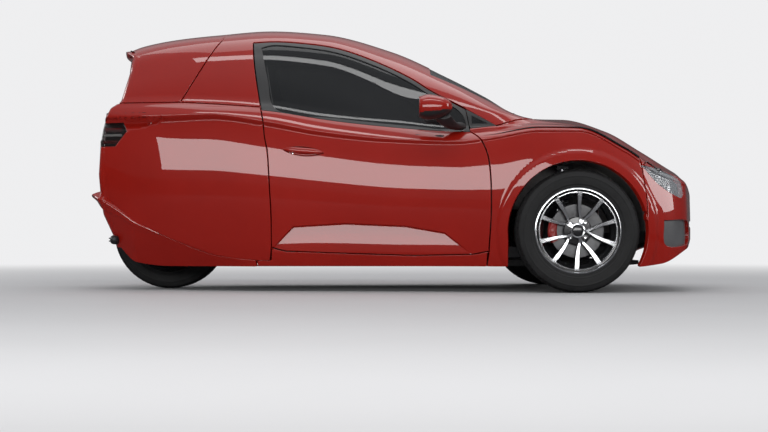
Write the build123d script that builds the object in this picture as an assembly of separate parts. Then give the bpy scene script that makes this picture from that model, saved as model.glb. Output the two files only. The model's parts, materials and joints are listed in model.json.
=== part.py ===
from build123d import *
import math
import os
from collections import namedtuple

# ---------------------------------------------------------------------------------------------
# A single-seat three-wheeled car: two steered wheels in front, one driven wheel behind.
# Millimetres. +X forward, +Y to the car's left, +Z up. The origin is on the ground, in the
# middle of the car's length and width.
# ---------------------------------------------------------------------------------------------

# Driving dimensions: wheels
WHEELBASE = 2032.0
FRONT_AXLE_X = 876.0
REAR_AXLE_X = FRONT_AXLE_X - WHEELBASE
TYRE_RADIUS = 293.0
TYRE_WIDTH = 165.0
AXLE_Z = TYRE_RADIUS
FRONT_TRACK = 1264.0
WHEEL_Y = FRONT_TRACK / 2

RIM_SEAT_RADIUS = 190.5
RIM_WALL = 8.0
RIM_WIDTH = 140.0
RIM_FLANGE = 15.0
RIM_FLANGE_WIDTH = 9.0
TYRE_SIDEWALL = 12.0
TYRE_SHOULDER = 26.0
TYRE_BEAD_STEP = 4.0
TYRE_SHOULDER_STEP = 8.0
TYRE_BELLY_SHARE = 1.6
TYRE_SHOULDER_SHARE = 0.5
SPOKE_COUNT = 10
SPOKE_WIDTH = 22.0
SPOKE_DEPTH = 18.0
SPOKE_FACE_Y = 62.0
HUB_RADIUS = 46.0
HUB_BACK_Y = 25.0
AXLE_RADIUS = 14.0
RUNNING_FIT = 0.05
SEAT_CLEARANCE = 0.3

DISC_RADIUS = 128.0
DISC_THICKNESS = 18.0
DISC_HAT_RADIUS = 62.0
DISC_HAT_DEPTH = 2.0

# Driving dimensions: steering and front suspension
KINGPIN_INSET = 25.0
KINGPIN_RADIUS = 8.0
UPRIGHT_HALF_HEIGHT = 100.0
UPRIGHT_HALF_WIDTH = 25.0
UPRIGHT_DEPTH = 33.0
STEERING_ARM = 80.0
STEER_LIMIT = 30.0
CALIPER_GAP = 5.0
CALIPER_RIM = 32.0
CALIPER_INNER_X = 95.0
CALIPER_INBOARD = 30.0
CALIPER_OUTBOARD = 10.0
CALIPER_HALF_HEIGHT = 45.0
CALIPER_BRACKET_X = 125.0
SPINDLE_END_GAP = 6.0
SINK = 5.0
PIN_END = 2.0
ARM_THICKNESS = 16.0
ARM_GAP = 4.0
ARM_EYE_RADIUS = 22.0
ARM_ROOT_HALF = 110.0
BRACKET_HALF_HEIGHT = 38.0
RACK_CLAMP_Y = 200.0
RACK_CLAMP_WIDTH = 30.0
RACK_CLAMP_HALF = 18.0
TIE_ROD_RADIUS = 8.0
TIE_ROD_GAP = 5.0
RAIL_INNER_Y = 330.0
RAIL_OUTER_Y = 380.0
RAIL_BOTTOM = 165.0
RAIL_HEIGHT = 50.0
TOWER_LENGTH = 72.0
SHELF_Z = 596.0
SHELF_THICKNESS = 16.0
DAMPER_RADIUS = 20.0
DAMPER_OFFSET_X = -46.0
DAMPER_Y = 465.0
DAMPER_SEAT_HALF = 28.0
RAIL_FRONT_X = 1190.0
SUBFRAME_LAP = 10.0
CROSS_MEMBER_RISE = 20.0

# Driving dimensions: body walls, seams and arches
WALL_SIDE = 55.0
WALL_TOP = 30.0
WALL_FLOOR = 30.0
WALL_TAIL = 45.0
GLASS_THICKNESS = 7.0
SHUT_GAP = 5.5
FLANK_INNER_Y = 250.0
FLANK_OUTER_Y = 800.0
SILL_INNER_Y = 300.0
LAMP_INNER_Y = 330.0
ROOF_ABOVE = 1400.0
BEHIND_X = -1700.0
DOOR_SLANT = 0.25
ARCH_RADIUS = 335.0
ARCH_INNER_Y = 400.0
ARCH_STEP = 5.0
ARCH_LINER_OUTER_Y = 760.0
LINER_THICKNESS = 4.0
REAR_WELL_GAP = 40.0
REAR_WELL_HALF_WIDTH = 150.0
REAR_WELL_TOP = 420.0
FLOOR_HALF_WIDTH = 430.0
GROUND_CLEARANCE = 121.0

Section = namedtuple(
    "Section",
    "x z_floor y_floor bulge lip y_crease z_crease y_belt z_belt y_rail z_rail z_top",
)

# Half sections of the outer body, tail to nose. Each runs from the floor edge up the bulged side to
# the overhanging crease, over the shoulder to the belt, up the window to the rail, over the roof.
SECTIONS = (
    #        x      z_floor y_floor bulge lip y_crease z_crease y_belt z_belt y_rail z_rail z_top
    Section(-1480, 330, 345, 8, 26, 400, 850, 365, 926, 285, 1120, 1180),
    Section(-1400, 255, 360, 16, 28, 428, 850, 387, 928, 302, 1150, 1212),
    Section(-1280, 140, 385, 22, 28, 458, 850, 407, 929, 322, 1190, 1262),
    Section(-1100, GROUND_CLEARANCE, 420, 28, 26, 492, 853, 436, 927, 350, 1222, 1296),
    Section(-900, GROUND_CLEARANCE, 456, 30, 22, 522, 858, 463, 918, 375, 1240, 1317),
    Section(-620, GROUND_CLEARANCE, 494, 32, 16, 551, 820, 492, 899, 398, 1247, 1339),
    Section(-350, GROUND_CLEARANCE, 522, 32, 13, 573, 768, 509, 853, 402, 1226, 1322),
    Section(0, GROUND_CLEARANCE, 559, 32, 11, 600, 731, 525, 811, 408, 1108, 1233),
    Section(300, GROUND_CLEARANCE, 597, 32, 9, 633, 719, 540, 783, 458, 1000, 1092),
    Section(470, GROUND_CLEARANCE, 632, 30, 7, 660, 735, 555, 790, 512, 912, 1000),
    Section(690, GROUND_CLEARANCE, 682, 32, 5, 707, 768, 602, 808, 470, 846, 872),
    Section(876, GROUND_CLEARANCE, 703, 34, 4, 703, 768, 612, 795, 420, 825, 876),
    Section(1100, GROUND_CLEARANCE, 699, 32, 4, 677, 672, 592, 700, 400, 726, 820),
    Section(1280, 138, 650, 22, 4, 620, 562, 540, 598, 380, 622, 718),
    Section(1420, 205, 540, 16, 4, 510, 520, 430, 550, 300, 576, 628),
    Section(1480, 232, 350, 10, 4, 335, 495, 290, 522, 210, 545, 596),
    Section(1525, 258, 180, 7, 4, 170, 465, 145, 487, 100, 500, 552),
    Section(1557, 300, 70, 3, 2, 66, 400, 52, 430, 25, 446, 450),
)

Point = namedtuple("Point", "x z")

# Side-view seams
DOOR_REAR_SEAM = (
    Point(-590, 213), Point(-590, 377), Point(-597, 500), Point(-609, 685),
    Point(-623, 753), Point(-631, 834), Point(-646, 903), Point(-679, 1096), Point(-694, 1238),
)
DOOR_TOP_SEAM = (
    Point(-488, 1238), Point(-270, 1205), Point(-52, 1126), Point(93, 1050), Point(186, 986),
    Point(352, 889),
)
DOOR_FRONT_SEAM = (
    Point(372, 776), Point(419, 731), Point(453, 650), Point(468, 440), Point(458, 194),
)
DOOR_BOTTOM_SEAM = (Point(381, 180), Point(102, 174), Point(-191, 185))
DOOR_WINDOW = (
    Point(-650, 1214), Point(-573, 892), Point(-266, 842), Point(126, 801), Point(350, 784),
    Point(330, 878), Point(176, 967), Point(86, 1029), Point(-58, 1104), Point(-276, 1182),
    Point(-488, 1214),
)
QUARTER_LIGHT = (Point(374, 868), Point(376, 806), Point(484, 806))
HATCH_SEAM_TOP = Point(-767, 1400)
HATCH_SEAM_FOOT = Point(-1045, 928)
HATCH_BELT_Z = 929.0
HATCH_HINGE_Z = 1323.0
HATCH_BARREL_Y = 70.0
HINGE_BARREL_RADIUS = 5.0
HINGE_BARREL_LENGTH = 50.0
HINGE_CLEARANCE = 0.3
HATCH_SEAM_SLOPE = (HATCH_SEAM_TOP.x - HATCH_SEAM_FOOT.x) / (HATCH_SEAM_TOP.z - HATCH_SEAM_FOOT.z)
HATCH_HINGE_X = HATCH_SEAM_FOOT.x + (HATCH_HINGE_Z - HATCH_SEAM_FOOT.z) * HATCH_SEAM_SLOPE - SHUT_GAP / 2
HATCH_TAIL_Z = 545.0
HATCH_TAIL_HALF = 255.0
HATCH_TAIL_DEPTH = 140.0
TAIL_PROFILE = (
    Point(-1385, 1300), Point(-1385, 1208), Point(-1352, 1172), Point(-1358, 1090),
    Point(-1398, 930), Point(-1428, 858), Point(-1455, 832), Point(-1466, 711),
    Point(-1478, 575), Point(-1474, 500), Point(-1470, 380), Point(-1400, 235), Point(-1400, 60),
)
SKIRT_LINE = (
    Point(-1600, 497), Point(-1478, 497), Point(-1278, 342), Point(-1098, 260),
    Point(-876, 178), Point(-664, GROUND_CLEARANCE + WALL_FLOOR),
)
SILL_REAR_FOOT = Point(-664, GROUND_CLEARANCE)
SILL_FRONT_FOOT = Point(446, GROUND_CLEARANCE)
SILL_TOP_RISE = 14.0
HEADLAMP = (
    Point(1183, 606), Point(1285, 590), Point(1385, 548), Point(1405, 452), Point(1345, 468),
    Point(1262, 522),
)
SIDE_INTAKE = (Point(1292, 345), Point(1440, 338), Point(1452, 244), Point(1300, 225))
TAIL_LAMP = (
    Point(-1490, 832), Point(-1490, 711), Point(-1372, 711), Point(-1310, 788), Point(-1334, 832),
)
TAIL_LAMP_INNER_Y = 285.0
TAIL_LAMP_OUTER_Y = 470.0
TAIL_ENVELOPE_FRONT_X = -1250.0
TAIL_ENVELOPE_CORNER = (-1400.0, 432.0)
TAIL_ENVELOPE_REAR_Y = 345.0
TAIL_ENVELOPE_INNER_Y = 200.0
GRILLE_HALF_WIDTH = 230.0
GRILLE_ROOT_X = 1440.0
GRILLE_BOTTOM = 215.0
GRILLE_TOP = 335.0
BUMPER_SEAM_X = 1212.0
LIP_HALF = 372.0
LIP_TIP_X = -1557.0
LIP_ROOT_X = -1440.0
LIP_WIDTH = 110.0
LIP_BOTTOM = 452.0
LIP_TOP = 497.0
WING_SEAM = (Point(560, 832), Point(490, 801), Point(376, 801), Point(372, 776))
WING_REAR_X = 380.0
WING_REAR_KNEE_Z = 500.0
WING_SCREEN_Z = 862.0
QUARTER_SEAM = (Point(-862, 918), Point(-600, 898), Point(-500, 500), Point(-500, 0))
TOW_SOCKET_RADIUS = 8.0
TOW_SOCKET_DEPTH = 36.0
TOW_SOCKET_Y = 40.0
TOW_SOCKET_Z = 400.0

# Plan-view seams
BONNET_REAR_X = 712.0
BONNET_FRONT_X = 1372.0
BONNET_REAR_HALF = 470.0
BONNET_FRONT_HALF = 318.0
BONNET_STRAIGHT = 100.0
BONNET_REGION_Z = 480.0
BONNET_HINGE_X = BONNET_REAR_X + SHUT_GAP / 2
BONNET_HINGE_Z = 870.0
BONNET_BARREL_Y = 130.0
SCREEN_TOP_X = 190.0
SCREEN_BASE_X = 684.0
SCREEN_TOP_HALF = 345.0
SCREEN_BASE_HALF = 452.0
SCREEN_REGION_Z = 760.0
REAR_GLASS_REGION_X = -1300.0
REAR_GLASS_TOP_Z = 1150.0
REAR_GLASS_FOOT_Z = 960.0
REAR_GLASS_TOP_HALF = 235.0
REAR_GLASS_FOOT_HALF = 300.0

# Mirrors
MIRROR_CENTRE = (197.0, 682.0, 888.0)
MIRROR_SIZE = (150.0, 176.0, 96.0)
MIRROR_CORNER = 34.0
MIRROR_ARM_FOOT = (322.0, 800.0)
MIRROR_ARM_THICKNESS = 22.0
MIRROR_FOOT_DEPTH = 6.0
MIRROR_FOOT_HALF = 30.0
MIRROR_ARM_FRONT = 40.0
MIRROR_ARM_REAR = 10.0
MIRROR_ARM_LAP = 20.0

# Cabin
FRONT_BULKHEAD_X = 505.0
BULKHEAD_THICKNESS = 25.0
FRONT_BULKHEAD_TOP = 790.0
REAR_BULKHEAD_X = -665.0
REAR_BULKHEAD_TOP = 880.0
BOOT_FLOOR_Z = 625.0
BOOT_FLOOR_THICKNESS = 20.0
BOOT_FLOOR_REAR_X = -1395.0
DASH_LENGTH = 230.0
DASH_HEIGHT = 190.0
DASH_DROP = 20.0
DASH_HALF_WIDTH = 455.0
SEAT_HALF_WIDTH = 240.0
SEAT_FRONT_X = 80.0
SEAT_REAR_X = -400.0
SEAT_BOTTOM = 240.0
SEAT_THICKNESS = 150.0
SEAT_BACK_THICKNESS = 120.0
SEAT_BACK_HALF_WIDTH = 228.0
SEAT_BACK_HEIGHT = 640.0
SEAT_BACK_LEAN = 20.0
HEADREST_HEIGHT = 170.0
HEADREST_HALF_WIDTH = 120.0
STEERING_WHEEL_RADIUS = 178.0
STEERING_GRIP = 14.0
STEERING_TILT = 24.0
STEERING_HUB_RADIUS = 45.0
STEERING_HUB_DEPTH = 36.0
STEERING_SPOKE = (30.0, 12.0)
STEERING_SPOKE_TURNS = (0, 180, 270)
STEERING_CENTRE = (60.0, 0.0, 700.0)
COLUMN_RADIUS = 22.0
COLUMN_LENGTH = 290.0

# Heavy masses and rear suspension
BATTERY = (540.0, 600.0, 80.0)
BATTERY_FRONT_X = -60.0
MOTOR_LENGTH = 140.0
MOTOR_HALF_WIDTH = 110.0
MOTOR_BOTTOM = 190.0
MOTOR_HEIGHT = 135.0
SWING_ARM_Y = 100.0
SWING_ARM_THICKNESS = 25.0
SWING_ARM_HEIGHT = 50.0
SWING_CROSS_LENGTH = 35.0
SWING_CROSS_HEIGHT = 60.0
REAR_DAMPER_RADIUS = 17.0

FAR = 2500.0


# ---------------------------------------------------------------------------------------------
# Helpers
# ---------------------------------------------------------------------------------------------
def block(x0, x1, y0, y1, z0, z1):
    """A box between two corners."""
    box = Box(x1 - x0, y1 - y0, z1 - z0)
    return Pos((x0 + x1) / 2, (y0 + y1) / 2, (z0 + z1) / 2) * box


def prism_y(points, y0, y1):
    """A side-view outline carried from y0 to y1."""
    wire = Wire.make_polygon([Vector(x, y0, z) for x, z in points])
    return Solid.extrude(Face(wire), Vector(0, y1 - y0, 0))


def prism_z(points, z0, z1):
    """A plan outline carried from z0 to z1."""
    wire = Wire.make_polygon([Vector(x, y, z0) for x, y in points])
    return Solid.extrude(Face(wire), Vector(0, 0, z1 - z0))


def rod_y(radius, y0, y1, x, z):
    """A round bar along Y."""
    return Pos(x, (y0 + y1) / 2, z) * (Rot(90, 0, 0) * Cylinder(radius, y1 - y0))


def rod_x(radius, x0, x1, y, z):
    """A round bar along X."""
    return Pos((x0 + x1) / 2, y, z) * (Rot(0, 90, 0) * Cylinder(radius, x1 - x0))


def rod_z(radius, z0, z1, x, y):
    """A round bar along Z."""
    return Pos(x, y, (z0 + z1) / 2) * Cylinder(radius, z1 - z0)


def shrink(points, gap):
    """A polygon with every side moved inward by the gap."""
    area = 0.0
    count = len(points)
    for i in range(count):
        ax, az = points[i]
        bx, bz = points[(i + 1) % count]
        area += ax * bz - bx * az
    turn = 1.0 if area > 0 else -1.0
    moved = []
    for i in range(count):
        px, pz = points[i - 1]
        cx, cz = points[i]
        nx, nz = points[(i + 1) % count]
        before = math.hypot(cx - px, cz - pz)
        after = math.hypot(nx - cx, nz - cz)
        n1 = (-(cz - pz) / before * turn, (cx - px) / before * turn)
        n2 = (-(nz - cz) / after * turn, (nx - cx) / after * turn)
        share = gap / (1.0 + n1[0] * n2[0] + n1[1] * n2[1])
        moved.append((cx + (n1[0] + n2[0]) * share, cz + (n1[1] + n2[1]) * share))
    return moved


def mirrored(shape):
    """The same shape on the other side of the car."""
    return shape.mirror(Plane.XZ)


def one(shape):
    """All solids of a boolean result as one compound, or the solid itself."""
    solids = shape.solids()
    return solids[0] if len(solids) == 1 else Compound(children=list(solids))


def largest(shape):
    """The largest solid of a boolean result."""
    return max(shape.solids(), key=lambda s: s.volume)


# ---------------------------------------------------------------------------------------------
# Body surface
# ---------------------------------------------------------------------------------------------
def section_wire(row, side, top, floor):
    """The closed body section at a station, with its walls moved inward."""
    slope = top * 0.5
    floor_edge = (row.y_floor - side, row.z_floor + floor)
    under = (row.y_crease - row.lip - side, row.z_crease - row.lip * 0.5)
    crease = (row.y_crease - side, row.z_crease)
    belt = (row.y_belt - side, row.z_belt - slope)
    rail = (row.y_rail - side * 0.7, row.z_rail - top)
    crown = row.z_top - top

    def at(y, z):
        return Vector(row.x, y, z)

    def between(a, b, push_y, push_z):
        return ((a[0] + b[0]) / 2 + push_y, (a[1] + b[1]) / 2 + push_z)

    side_mid = between(floor_edge, under, row.bulge, 0)
    shoulder_mid = between(crease, belt, 7.0, 7.0)
    window_mid = between(belt, rail, 9.0, 3.0)
    edges = [Edge.make_line(at(-floor_edge[0], floor_edge[1]), at(*floor_edge))]
    edges.append(Edge.make_three_point_arc(at(*floor_edge), at(*side_mid), at(*under)))
    edges.append(Edge.make_line(at(*under), at(*crease)))
    edges.append(Edge.make_three_point_arc(at(*crease), at(*shoulder_mid), at(*belt)))
    edges.append(Edge.make_three_point_arc(at(*belt), at(*window_mid), at(*rail)))
    edges.append(Edge.make_three_point_arc(at(*rail), at(0, crown), at(-rail[0], rail[1])))
    edges.append(
        Edge.make_three_point_arc(at(-rail[0], rail[1]), at(-window_mid[0], window_mid[1]),
                                  at(-belt[0], belt[1])))
    edges.append(
        Edge.make_three_point_arc(at(-belt[0], belt[1]), at(-shoulder_mid[0], shoulder_mid[1]),
                                  at(-crease[0], crease[1])))
    edges.append(Edge.make_line(at(-crease[0], crease[1]), at(-under[0], under[1])))
    edges.append(
        Edge.make_three_point_arc(at(-under[0], under[1]), at(-side_mid[0], side_mid[1]),
                                  at(-floor_edge[0], floor_edge[1])))
    return Wire(edges)


def body_loft(side, top, floor, rows=SECTIONS):
    """The whole body as one closed loft, its walls moved inward."""
    wires = [section_wire(row, side, top, floor) for row in rows]
    return Solid.make_loft(wires, ruled=True)


def skin_y(x, z):
    """Half width of the outer skin at a side-view point, on straight runs between the edges."""
    rows = SECTIONS
    index = max(i for i in range(len(rows) - 1) if rows[i].x <= x)
    a, b = rows[index], rows[index + 1]
    t = (x - a.x) / (b.x - a.x)

    def mix(name):
        return getattr(a, name) * (1 - t) + getattr(b, name) * t

    ladder = (
        (mix("z_floor"), mix("y_floor")),
        (mix("z_crease"), mix("y_crease")),
        (mix("z_belt"), mix("y_belt")),
        (mix("z_rail"), mix("y_rail")),
    )
    for (z0, y0), (z1, y1) in zip(ladder, ladder[1:]):
        if z <= z1:
            return y0 + (y1 - y0) * max(0.0, (z - z0) / (z1 - z0))
    return ladder[-1][1]


def tail_cut(wall):
    """Everything ahead of the tail profile, moved forward by the wall."""
    tail = [(p.x + wall, p.z) for p in TAIL_PROFILE]
    return prism_y(tail + [(FAR, 60), (FAR, 1300 + FAR), (tail[0][0], 1300 + FAR)], -FAR, FAR)


def build_shell():
    """The body wall all round, and the hollow and the thin glass skin that share its surface."""
    outer = body_loft(0, 0, 0) & tail_cut(0)
    nose_limit = SECTIONS[-1].x - WALL_TAIL
    hollow = body_loft(WALL_SIDE, WALL_TOP, WALL_FLOOR, SECTIONS[:-1]) & tail_cut(WALL_TAIL)
    hollow = hollow & block(-FAR, nose_limit, -FAR, FAR, -FAR, FAR)
    lining = body_loft(GLASS_THICKNESS, GLASS_THICKNESS, GLASS_THICKNESS) & tail_cut(GLASS_THICKNESS)
    return outer, hollow, outer - hollow, outer - lining


# ---------------------------------------------------------------------------------------------
# Regions that cut the shell into panels
# ---------------------------------------------------------------------------------------------
def slanted(points, gap):
    """The left door's outline as a prism that leans forward towards the cabin."""
    plane_y = 300.0
    depth = 500.0
    flat = [(p.x + DOOR_SLANT * (skin_y(p.x, p.z) - plane_y), p.z) for p in points]
    flat = shrink(flat, gap)
    wire = Wire.make_polygon([Vector(x, plane_y, z) for x, z in flat])
    return Solid.extrude(Face(wire), Vector(-DOOR_SLANT * depth, depth, 0))


def door_region(gap):
    outline = DOOR_REAR_SEAM + DOOR_TOP_SEAM + DOOR_FRONT_SEAM + DOOR_BOTTOM_SEAM
    return slanted(outline, gap)


def hatch_region(gap):
    upper = [
        HATCH_SEAM_TOP, HATCH_SEAM_FOOT, Point(BEHIND_X, HATCH_BELT_Z), Point(BEHIND_X, ROOF_ABOVE),
    ]
    lower = block(
        BEHIND_X, TAIL_PROFILE[4].x + HATCH_TAIL_DEPTH, -HATCH_TAIL_HALF + gap, HATCH_TAIL_HALF - gap,
        HATCH_TAIL_Z + gap, HATCH_BELT_Z + gap * 2)
    return prism_y(shrink(upper, gap), -FAR, FAR) + lower


def bonnet_region(gap):
    straight_x = BONNET_REAR_X + BONNET_STRAIGHT
    outline = [
        (BONNET_REAR_X, -BONNET_REAR_HALF), (straight_x, -BONNET_REAR_HALF),
        (BONNET_FRONT_X, -BONNET_FRONT_HALF), (BONNET_FRONT_X, BONNET_FRONT_HALF),
        (straight_x, BONNET_REAR_HALF), (BONNET_REAR_X, BONNET_REAR_HALF),
    ]
    return prism_z(shrink(outline, gap), BONNET_REGION_Z, ROOF_ABOVE)


def screen_region():
    outline = [
        (SCREEN_TOP_X, -SCREEN_TOP_HALF), (SCREEN_BASE_X, -SCREEN_BASE_HALF),
        (SCREEN_BASE_X, SCREEN_BASE_HALF), (SCREEN_TOP_X, SCREEN_TOP_HALF),
    ]
    return prism_z(outline, SCREEN_REGION_Z, ROOF_ABOVE)


def rear_glass_region():
    corners = [
        Vector(REAR_GLASS_REGION_X, REAR_GLASS_TOP_HALF, REAR_GLASS_TOP_Z),
        Vector(REAR_GLASS_REGION_X, -REAR_GLASS_TOP_HALF, REAR_GLASS_TOP_Z),
        Vector(REAR_GLASS_REGION_X, -REAR_GLASS_FOOT_HALF, REAR_GLASS_FOOT_Z),
        Vector(REAR_GLASS_REGION_X, REAR_GLASS_FOOT_HALF, REAR_GLASS_FOOT_Z),
    ]
    return Solid.extrude(Face(Wire.make_polygon(corners)), Vector(BEHIND_X - REAR_GLASS_REGION_X, 0, 0))


def both_sides(points, y0, y1):
    return prism_y(points, y0, y1) + prism_y(points, -y1, -y0)


def hinge_barrels(x, z, y):
    """Two hinge barrels along Y, and the recesses that run around them in the lid."""
    pins = rod_y(HINGE_BARREL_RADIUS, y, y + HINGE_BARREL_LENGTH, x, z)
    wide = rod_y(HINGE_BARREL_RADIUS + HINGE_CLEARANCE, y - HINGE_CLEARANCE,
                 y + HINGE_BARREL_LENGTH + HINGE_CLEARANCE, x, z)
    return pins + mirrored(pins), wide + mirrored(wide)


def arch_cutter():
    """The open space of both front arches, straight down behind the wheel."""
    cut = rod_y(ARCH_RADIUS, ARCH_INNER_Y, FAR, FRONT_AXLE_X, AXLE_Z)
    cut += block(FRONT_AXLE_X - ARCH_RADIUS + ARCH_STEP, FRONT_AXLE_X, ARCH_INNER_Y, FAR, 0, AXLE_Z)
    return cut + mirrored(cut)


def rear_well_cutter():
    reach = TYRE_RADIUS + REAR_WELL_GAP
    return block(REAR_AXLE_X - FAR, REAR_AXLE_X + reach, -REAR_WELL_HALF_WIDTH,
                 REAR_WELL_HALF_WIDTH, 0, REAR_WELL_TOP)


# ---------------------------------------------------------------------------------------------
# Panels
# ---------------------------------------------------------------------------------------------
def carve(skin, region):
    """What of the skin lies in a region, and what is left."""
    return skin & region, skin - region


def build_panels(parts):
    outer, hollow, shell, glass_skin = build_shell()
    shell = shell - arch_cutter()
    shell = shell - rear_well_cutter()

    floor_region = block(SILL_REAR_FOOT.x, BUMPER_SEAM_X, -FLOOR_HALF_WIDTH, FLOOR_HALF_WIDTH,
                         0, GROUND_CLEARANCE + WALL_FLOOR)
    floor_pan, shell = carve(shell, floor_region)
    parts["floor_pan"] = floor_pan

    door_space = door_region(0)
    door_left = shell & door_region(SHUT_GAP)
    shell = shell - door_space - mirrored(door_space)
    window = prism_y(DOOR_WINDOW, FLANK_INNER_Y, FLANK_OUTER_Y)
    pane = glass_skin & window
    door_left = largest(door_left - window)
    parts["door_left"] = door_left
    parts["door_right"] = mirrored(door_left)
    parts["door_glass_left"] = pane
    parts["door_glass_right"] = mirrored(pane)

    hatch = shell & hatch_region(SHUT_GAP)
    shell = shell - hatch_region(0)
    rear_window = rear_glass_region()
    pins, recesses = hinge_barrels(HATCH_HINGE_X, HATCH_HINGE_Z, HATCH_BARREL_Y)
    parts["tailgate"] = hatch - rear_window - recesses
    shell = shell + pins
    parts["tailgate_glass"] = glass_skin & rear_window

    bonnet = shell & bonnet_region(SHUT_GAP)
    shell = shell - bonnet_region(0)
    pins, recesses = hinge_barrels(BONNET_HINGE_X, BONNET_HINGE_Z, BONNET_BARREL_Y)
    parts["bonnet"] = bonnet - recesses

    screen = screen_region()
    parts["windscreen"] = glass_skin & screen
    shell = shell - screen
    cowl_region = block(SCREEN_BASE_X, BONNET_REAR_X, -BONNET_REAR_HALF, BONNET_REAR_HALF,
                       SCREEN_REGION_Z, ROOF_ABOVE)
    cowl, shell = carve(shell, cowl_region)
    parts["cowl_panel"] = cowl + pins
    light = both_sides(QUARTER_LIGHT, FLANK_INNER_Y, FLANK_OUTER_Y)
    parts["quarter_lights"] = glass_skin & light
    shell = shell - light

    skirt_region = prism_y(list(SKIRT_LINE) + [(SILL_REAR_FOOT.x, 0), (SKIRT_LINE[0].x, 0)], -FAR, FAR)
    skirt, shell = carve(shell, skirt_region)

    sill_top = [(p.x, p.z + SILL_TOP_RISE) for p in reversed(DOOR_BOTTOM_SEAM)]
    sill_outline = [tuple(SILL_REAR_FOOT), tuple(DOOR_REAR_SEAM[0])] + sill_top
    sill_outline += [tuple(SILL_FRONT_FOOT)]
    sills, shell = carve(shell, both_sides(sill_outline, SILL_INNER_Y, FLANK_OUTER_Y))
    parts["sills"] = sills

    lamps, shell = carve(shell, both_sides(HEADLAMP, LAMP_INNER_Y, FLANK_OUTER_Y))
    parts["headlamps"] = lamps
    lamp_blocks = both_sides(TAIL_LAMP, TAIL_LAMP_INNER_Y, TAIL_LAMP_OUTER_Y) & outer_tail_envelope()
    parts["tail_lamps"] = lamp_blocks
    shell = shell - lamp_blocks

    bumper, shell = carve(shell, block(BUMPER_SEAM_X, FAR, -FAR, FAR, 0, FAR))
    nose = SECTIONS[-1].x
    bumper -= rod_x(TOW_SOCKET_RADIUS, nose - TOW_SOCKET_DEPTH, nose + ARCH_STEP, TOW_SOCKET_Y, TOW_SOCKET_Z)
    intakes = both_sides(SIDE_INTAKE, SILL_INNER_Y, FLANK_OUTER_Y)
    intakes += block(GRILLE_ROOT_X, FAR, -GRILLE_HALF_WIDTH, GRILLE_HALF_WIDTH, GRILLE_BOTTOM, GRILLE_TOP)
    parts["front_grilles"] = bumper & intakes
    parts["front_bumper"] = bumper - intakes

    wing_outline = [
        (BUMPER_SEAM_X, 0), (BUMPER_SEAM_X, ROOF_ABOVE), (BONNET_REAR_X, ROOF_ABOVE),
        (BONNET_REAR_X, WING_SCREEN_Z),
    ]
    wing_outline += [tuple(p) for p in WING_SEAM]
    wing_outline += [(WING_REAR_X, WING_REAR_KNEE_Z), (WING_REAR_X, 0)]
    wings, shell = carve(shell, prism_y(wing_outline, -FAR, FAR))
    parts["front_wings"] = wings

    quarter_outline = [(BEHIND_X, 0), (BEHIND_X, HATCH_BELT_Z), (HATCH_SEAM_FOOT.x, HATCH_BELT_Z)]
    quarter_outline += [tuple(p) for p in QUARTER_SEAM]
    quarters, shell = carve(shell, prism_y(quarter_outline, -FAR, FAR))
    parts["rear_quarters"] = quarters
    parts["rear_skirt"] = skirt + (rear_lip() - quarters)
    roof_seam = block(BEHIND_X, SCREEN_TOP_X, -SCREEN_TOP_HALF, SCREEN_TOP_HALF, HATCH_BELT_Z, FAR)
    parts["roof_panel"], parts["side_frames"] = carve(shell, roof_seam)
    return hollow


def outer_tail_envelope():
    """The rounded space that the tail lamps may fill, from above."""
    reach = SECTIONS[0].x
    plan = [
        (reach, TAIL_ENVELOPE_INNER_Y), (reach, TAIL_ENVELOPE_REAR_Y), TAIL_ENVELOPE_CORNER,
        (TAIL_ENVELOPE_FRONT_X, TAIL_LAMP_OUTER_Y), (TAIL_ENVELOPE_FRONT_X, TAIL_ENVELOPE_INNER_Y),
    ]
    left = prism_z(plan, 0, ROOF_ABOVE)
    return left + mirrored(left)


def lip_lens(inset):
    """The lip seen from above: an arc closed by a straight line, moved inwards."""
    half = LIP_HALF - inset
    arc = Edge.make_three_point_arc(
        Vector(LIP_ROOT_X, -half, LIP_BOTTOM), Vector(LIP_TIP_X + inset, 0, LIP_BOTTOM),
        Vector(LIP_ROOT_X, half, LIP_BOTTOM))
    back = Edge.make_line(Vector(LIP_ROOT_X, half, LIP_BOTTOM), Vector(LIP_ROOT_X, -half, LIP_BOTTOM))
    return Solid.extrude(Face(Wire([arc, back])), Vector(0, 0, LIP_TOP - LIP_BOTTOM))


def rear_lip():
    """The bumper lip that stands out behind the tail."""
    return lip_lens(0) - lip_lens(LIP_WIDTH)


# ---------------------------------------------------------------------------------------------
# Wheels, brakes, knuckles: made about the wheel centre, outboard along +Y, then placed
# ---------------------------------------------------------------------------------------------
def spin(points):
    """A closed radius-and-y outline turned about the wheel's axis."""
    wire = Wire.make_polygon([Vector(r, y, 0) for r, y in points])
    return Solid.revolve(Face(wire), 360, Axis((0, 0, 0), (0, 1, 0)))


def tyre():
    half = TYRE_WIDTH / 2
    bead = RIM_SEAT_RADIUS + SEAT_CLEARANCE
    bead_y = RIM_WIDTH / 2 - RIM_FLANGE_WIDTH - SEAT_CLEARANCE
    wall = (bead + RIM_FLANGE + TYRE_SIDEWALL, half - TYRE_BEAD_STEP)
    belly = (TYRE_RADIUS - TYRE_SHOULDER * TYRE_BELLY_SHARE, half)
    shoulder = (TYRE_RADIUS - TYRE_SHOULDER * TYRE_SHOULDER_SHARE, half - TYRE_SHOULDER_STEP)
    side = [(bead, bead_y), (bead + RIM_FLANGE, bead_y), wall, belly, shoulder,
            (TYRE_RADIUS, half - TYRE_SHOULDER)]
    outline = [(radius, -y) for radius, y in side] + side[::-1]
    return spin(outline)


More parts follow.
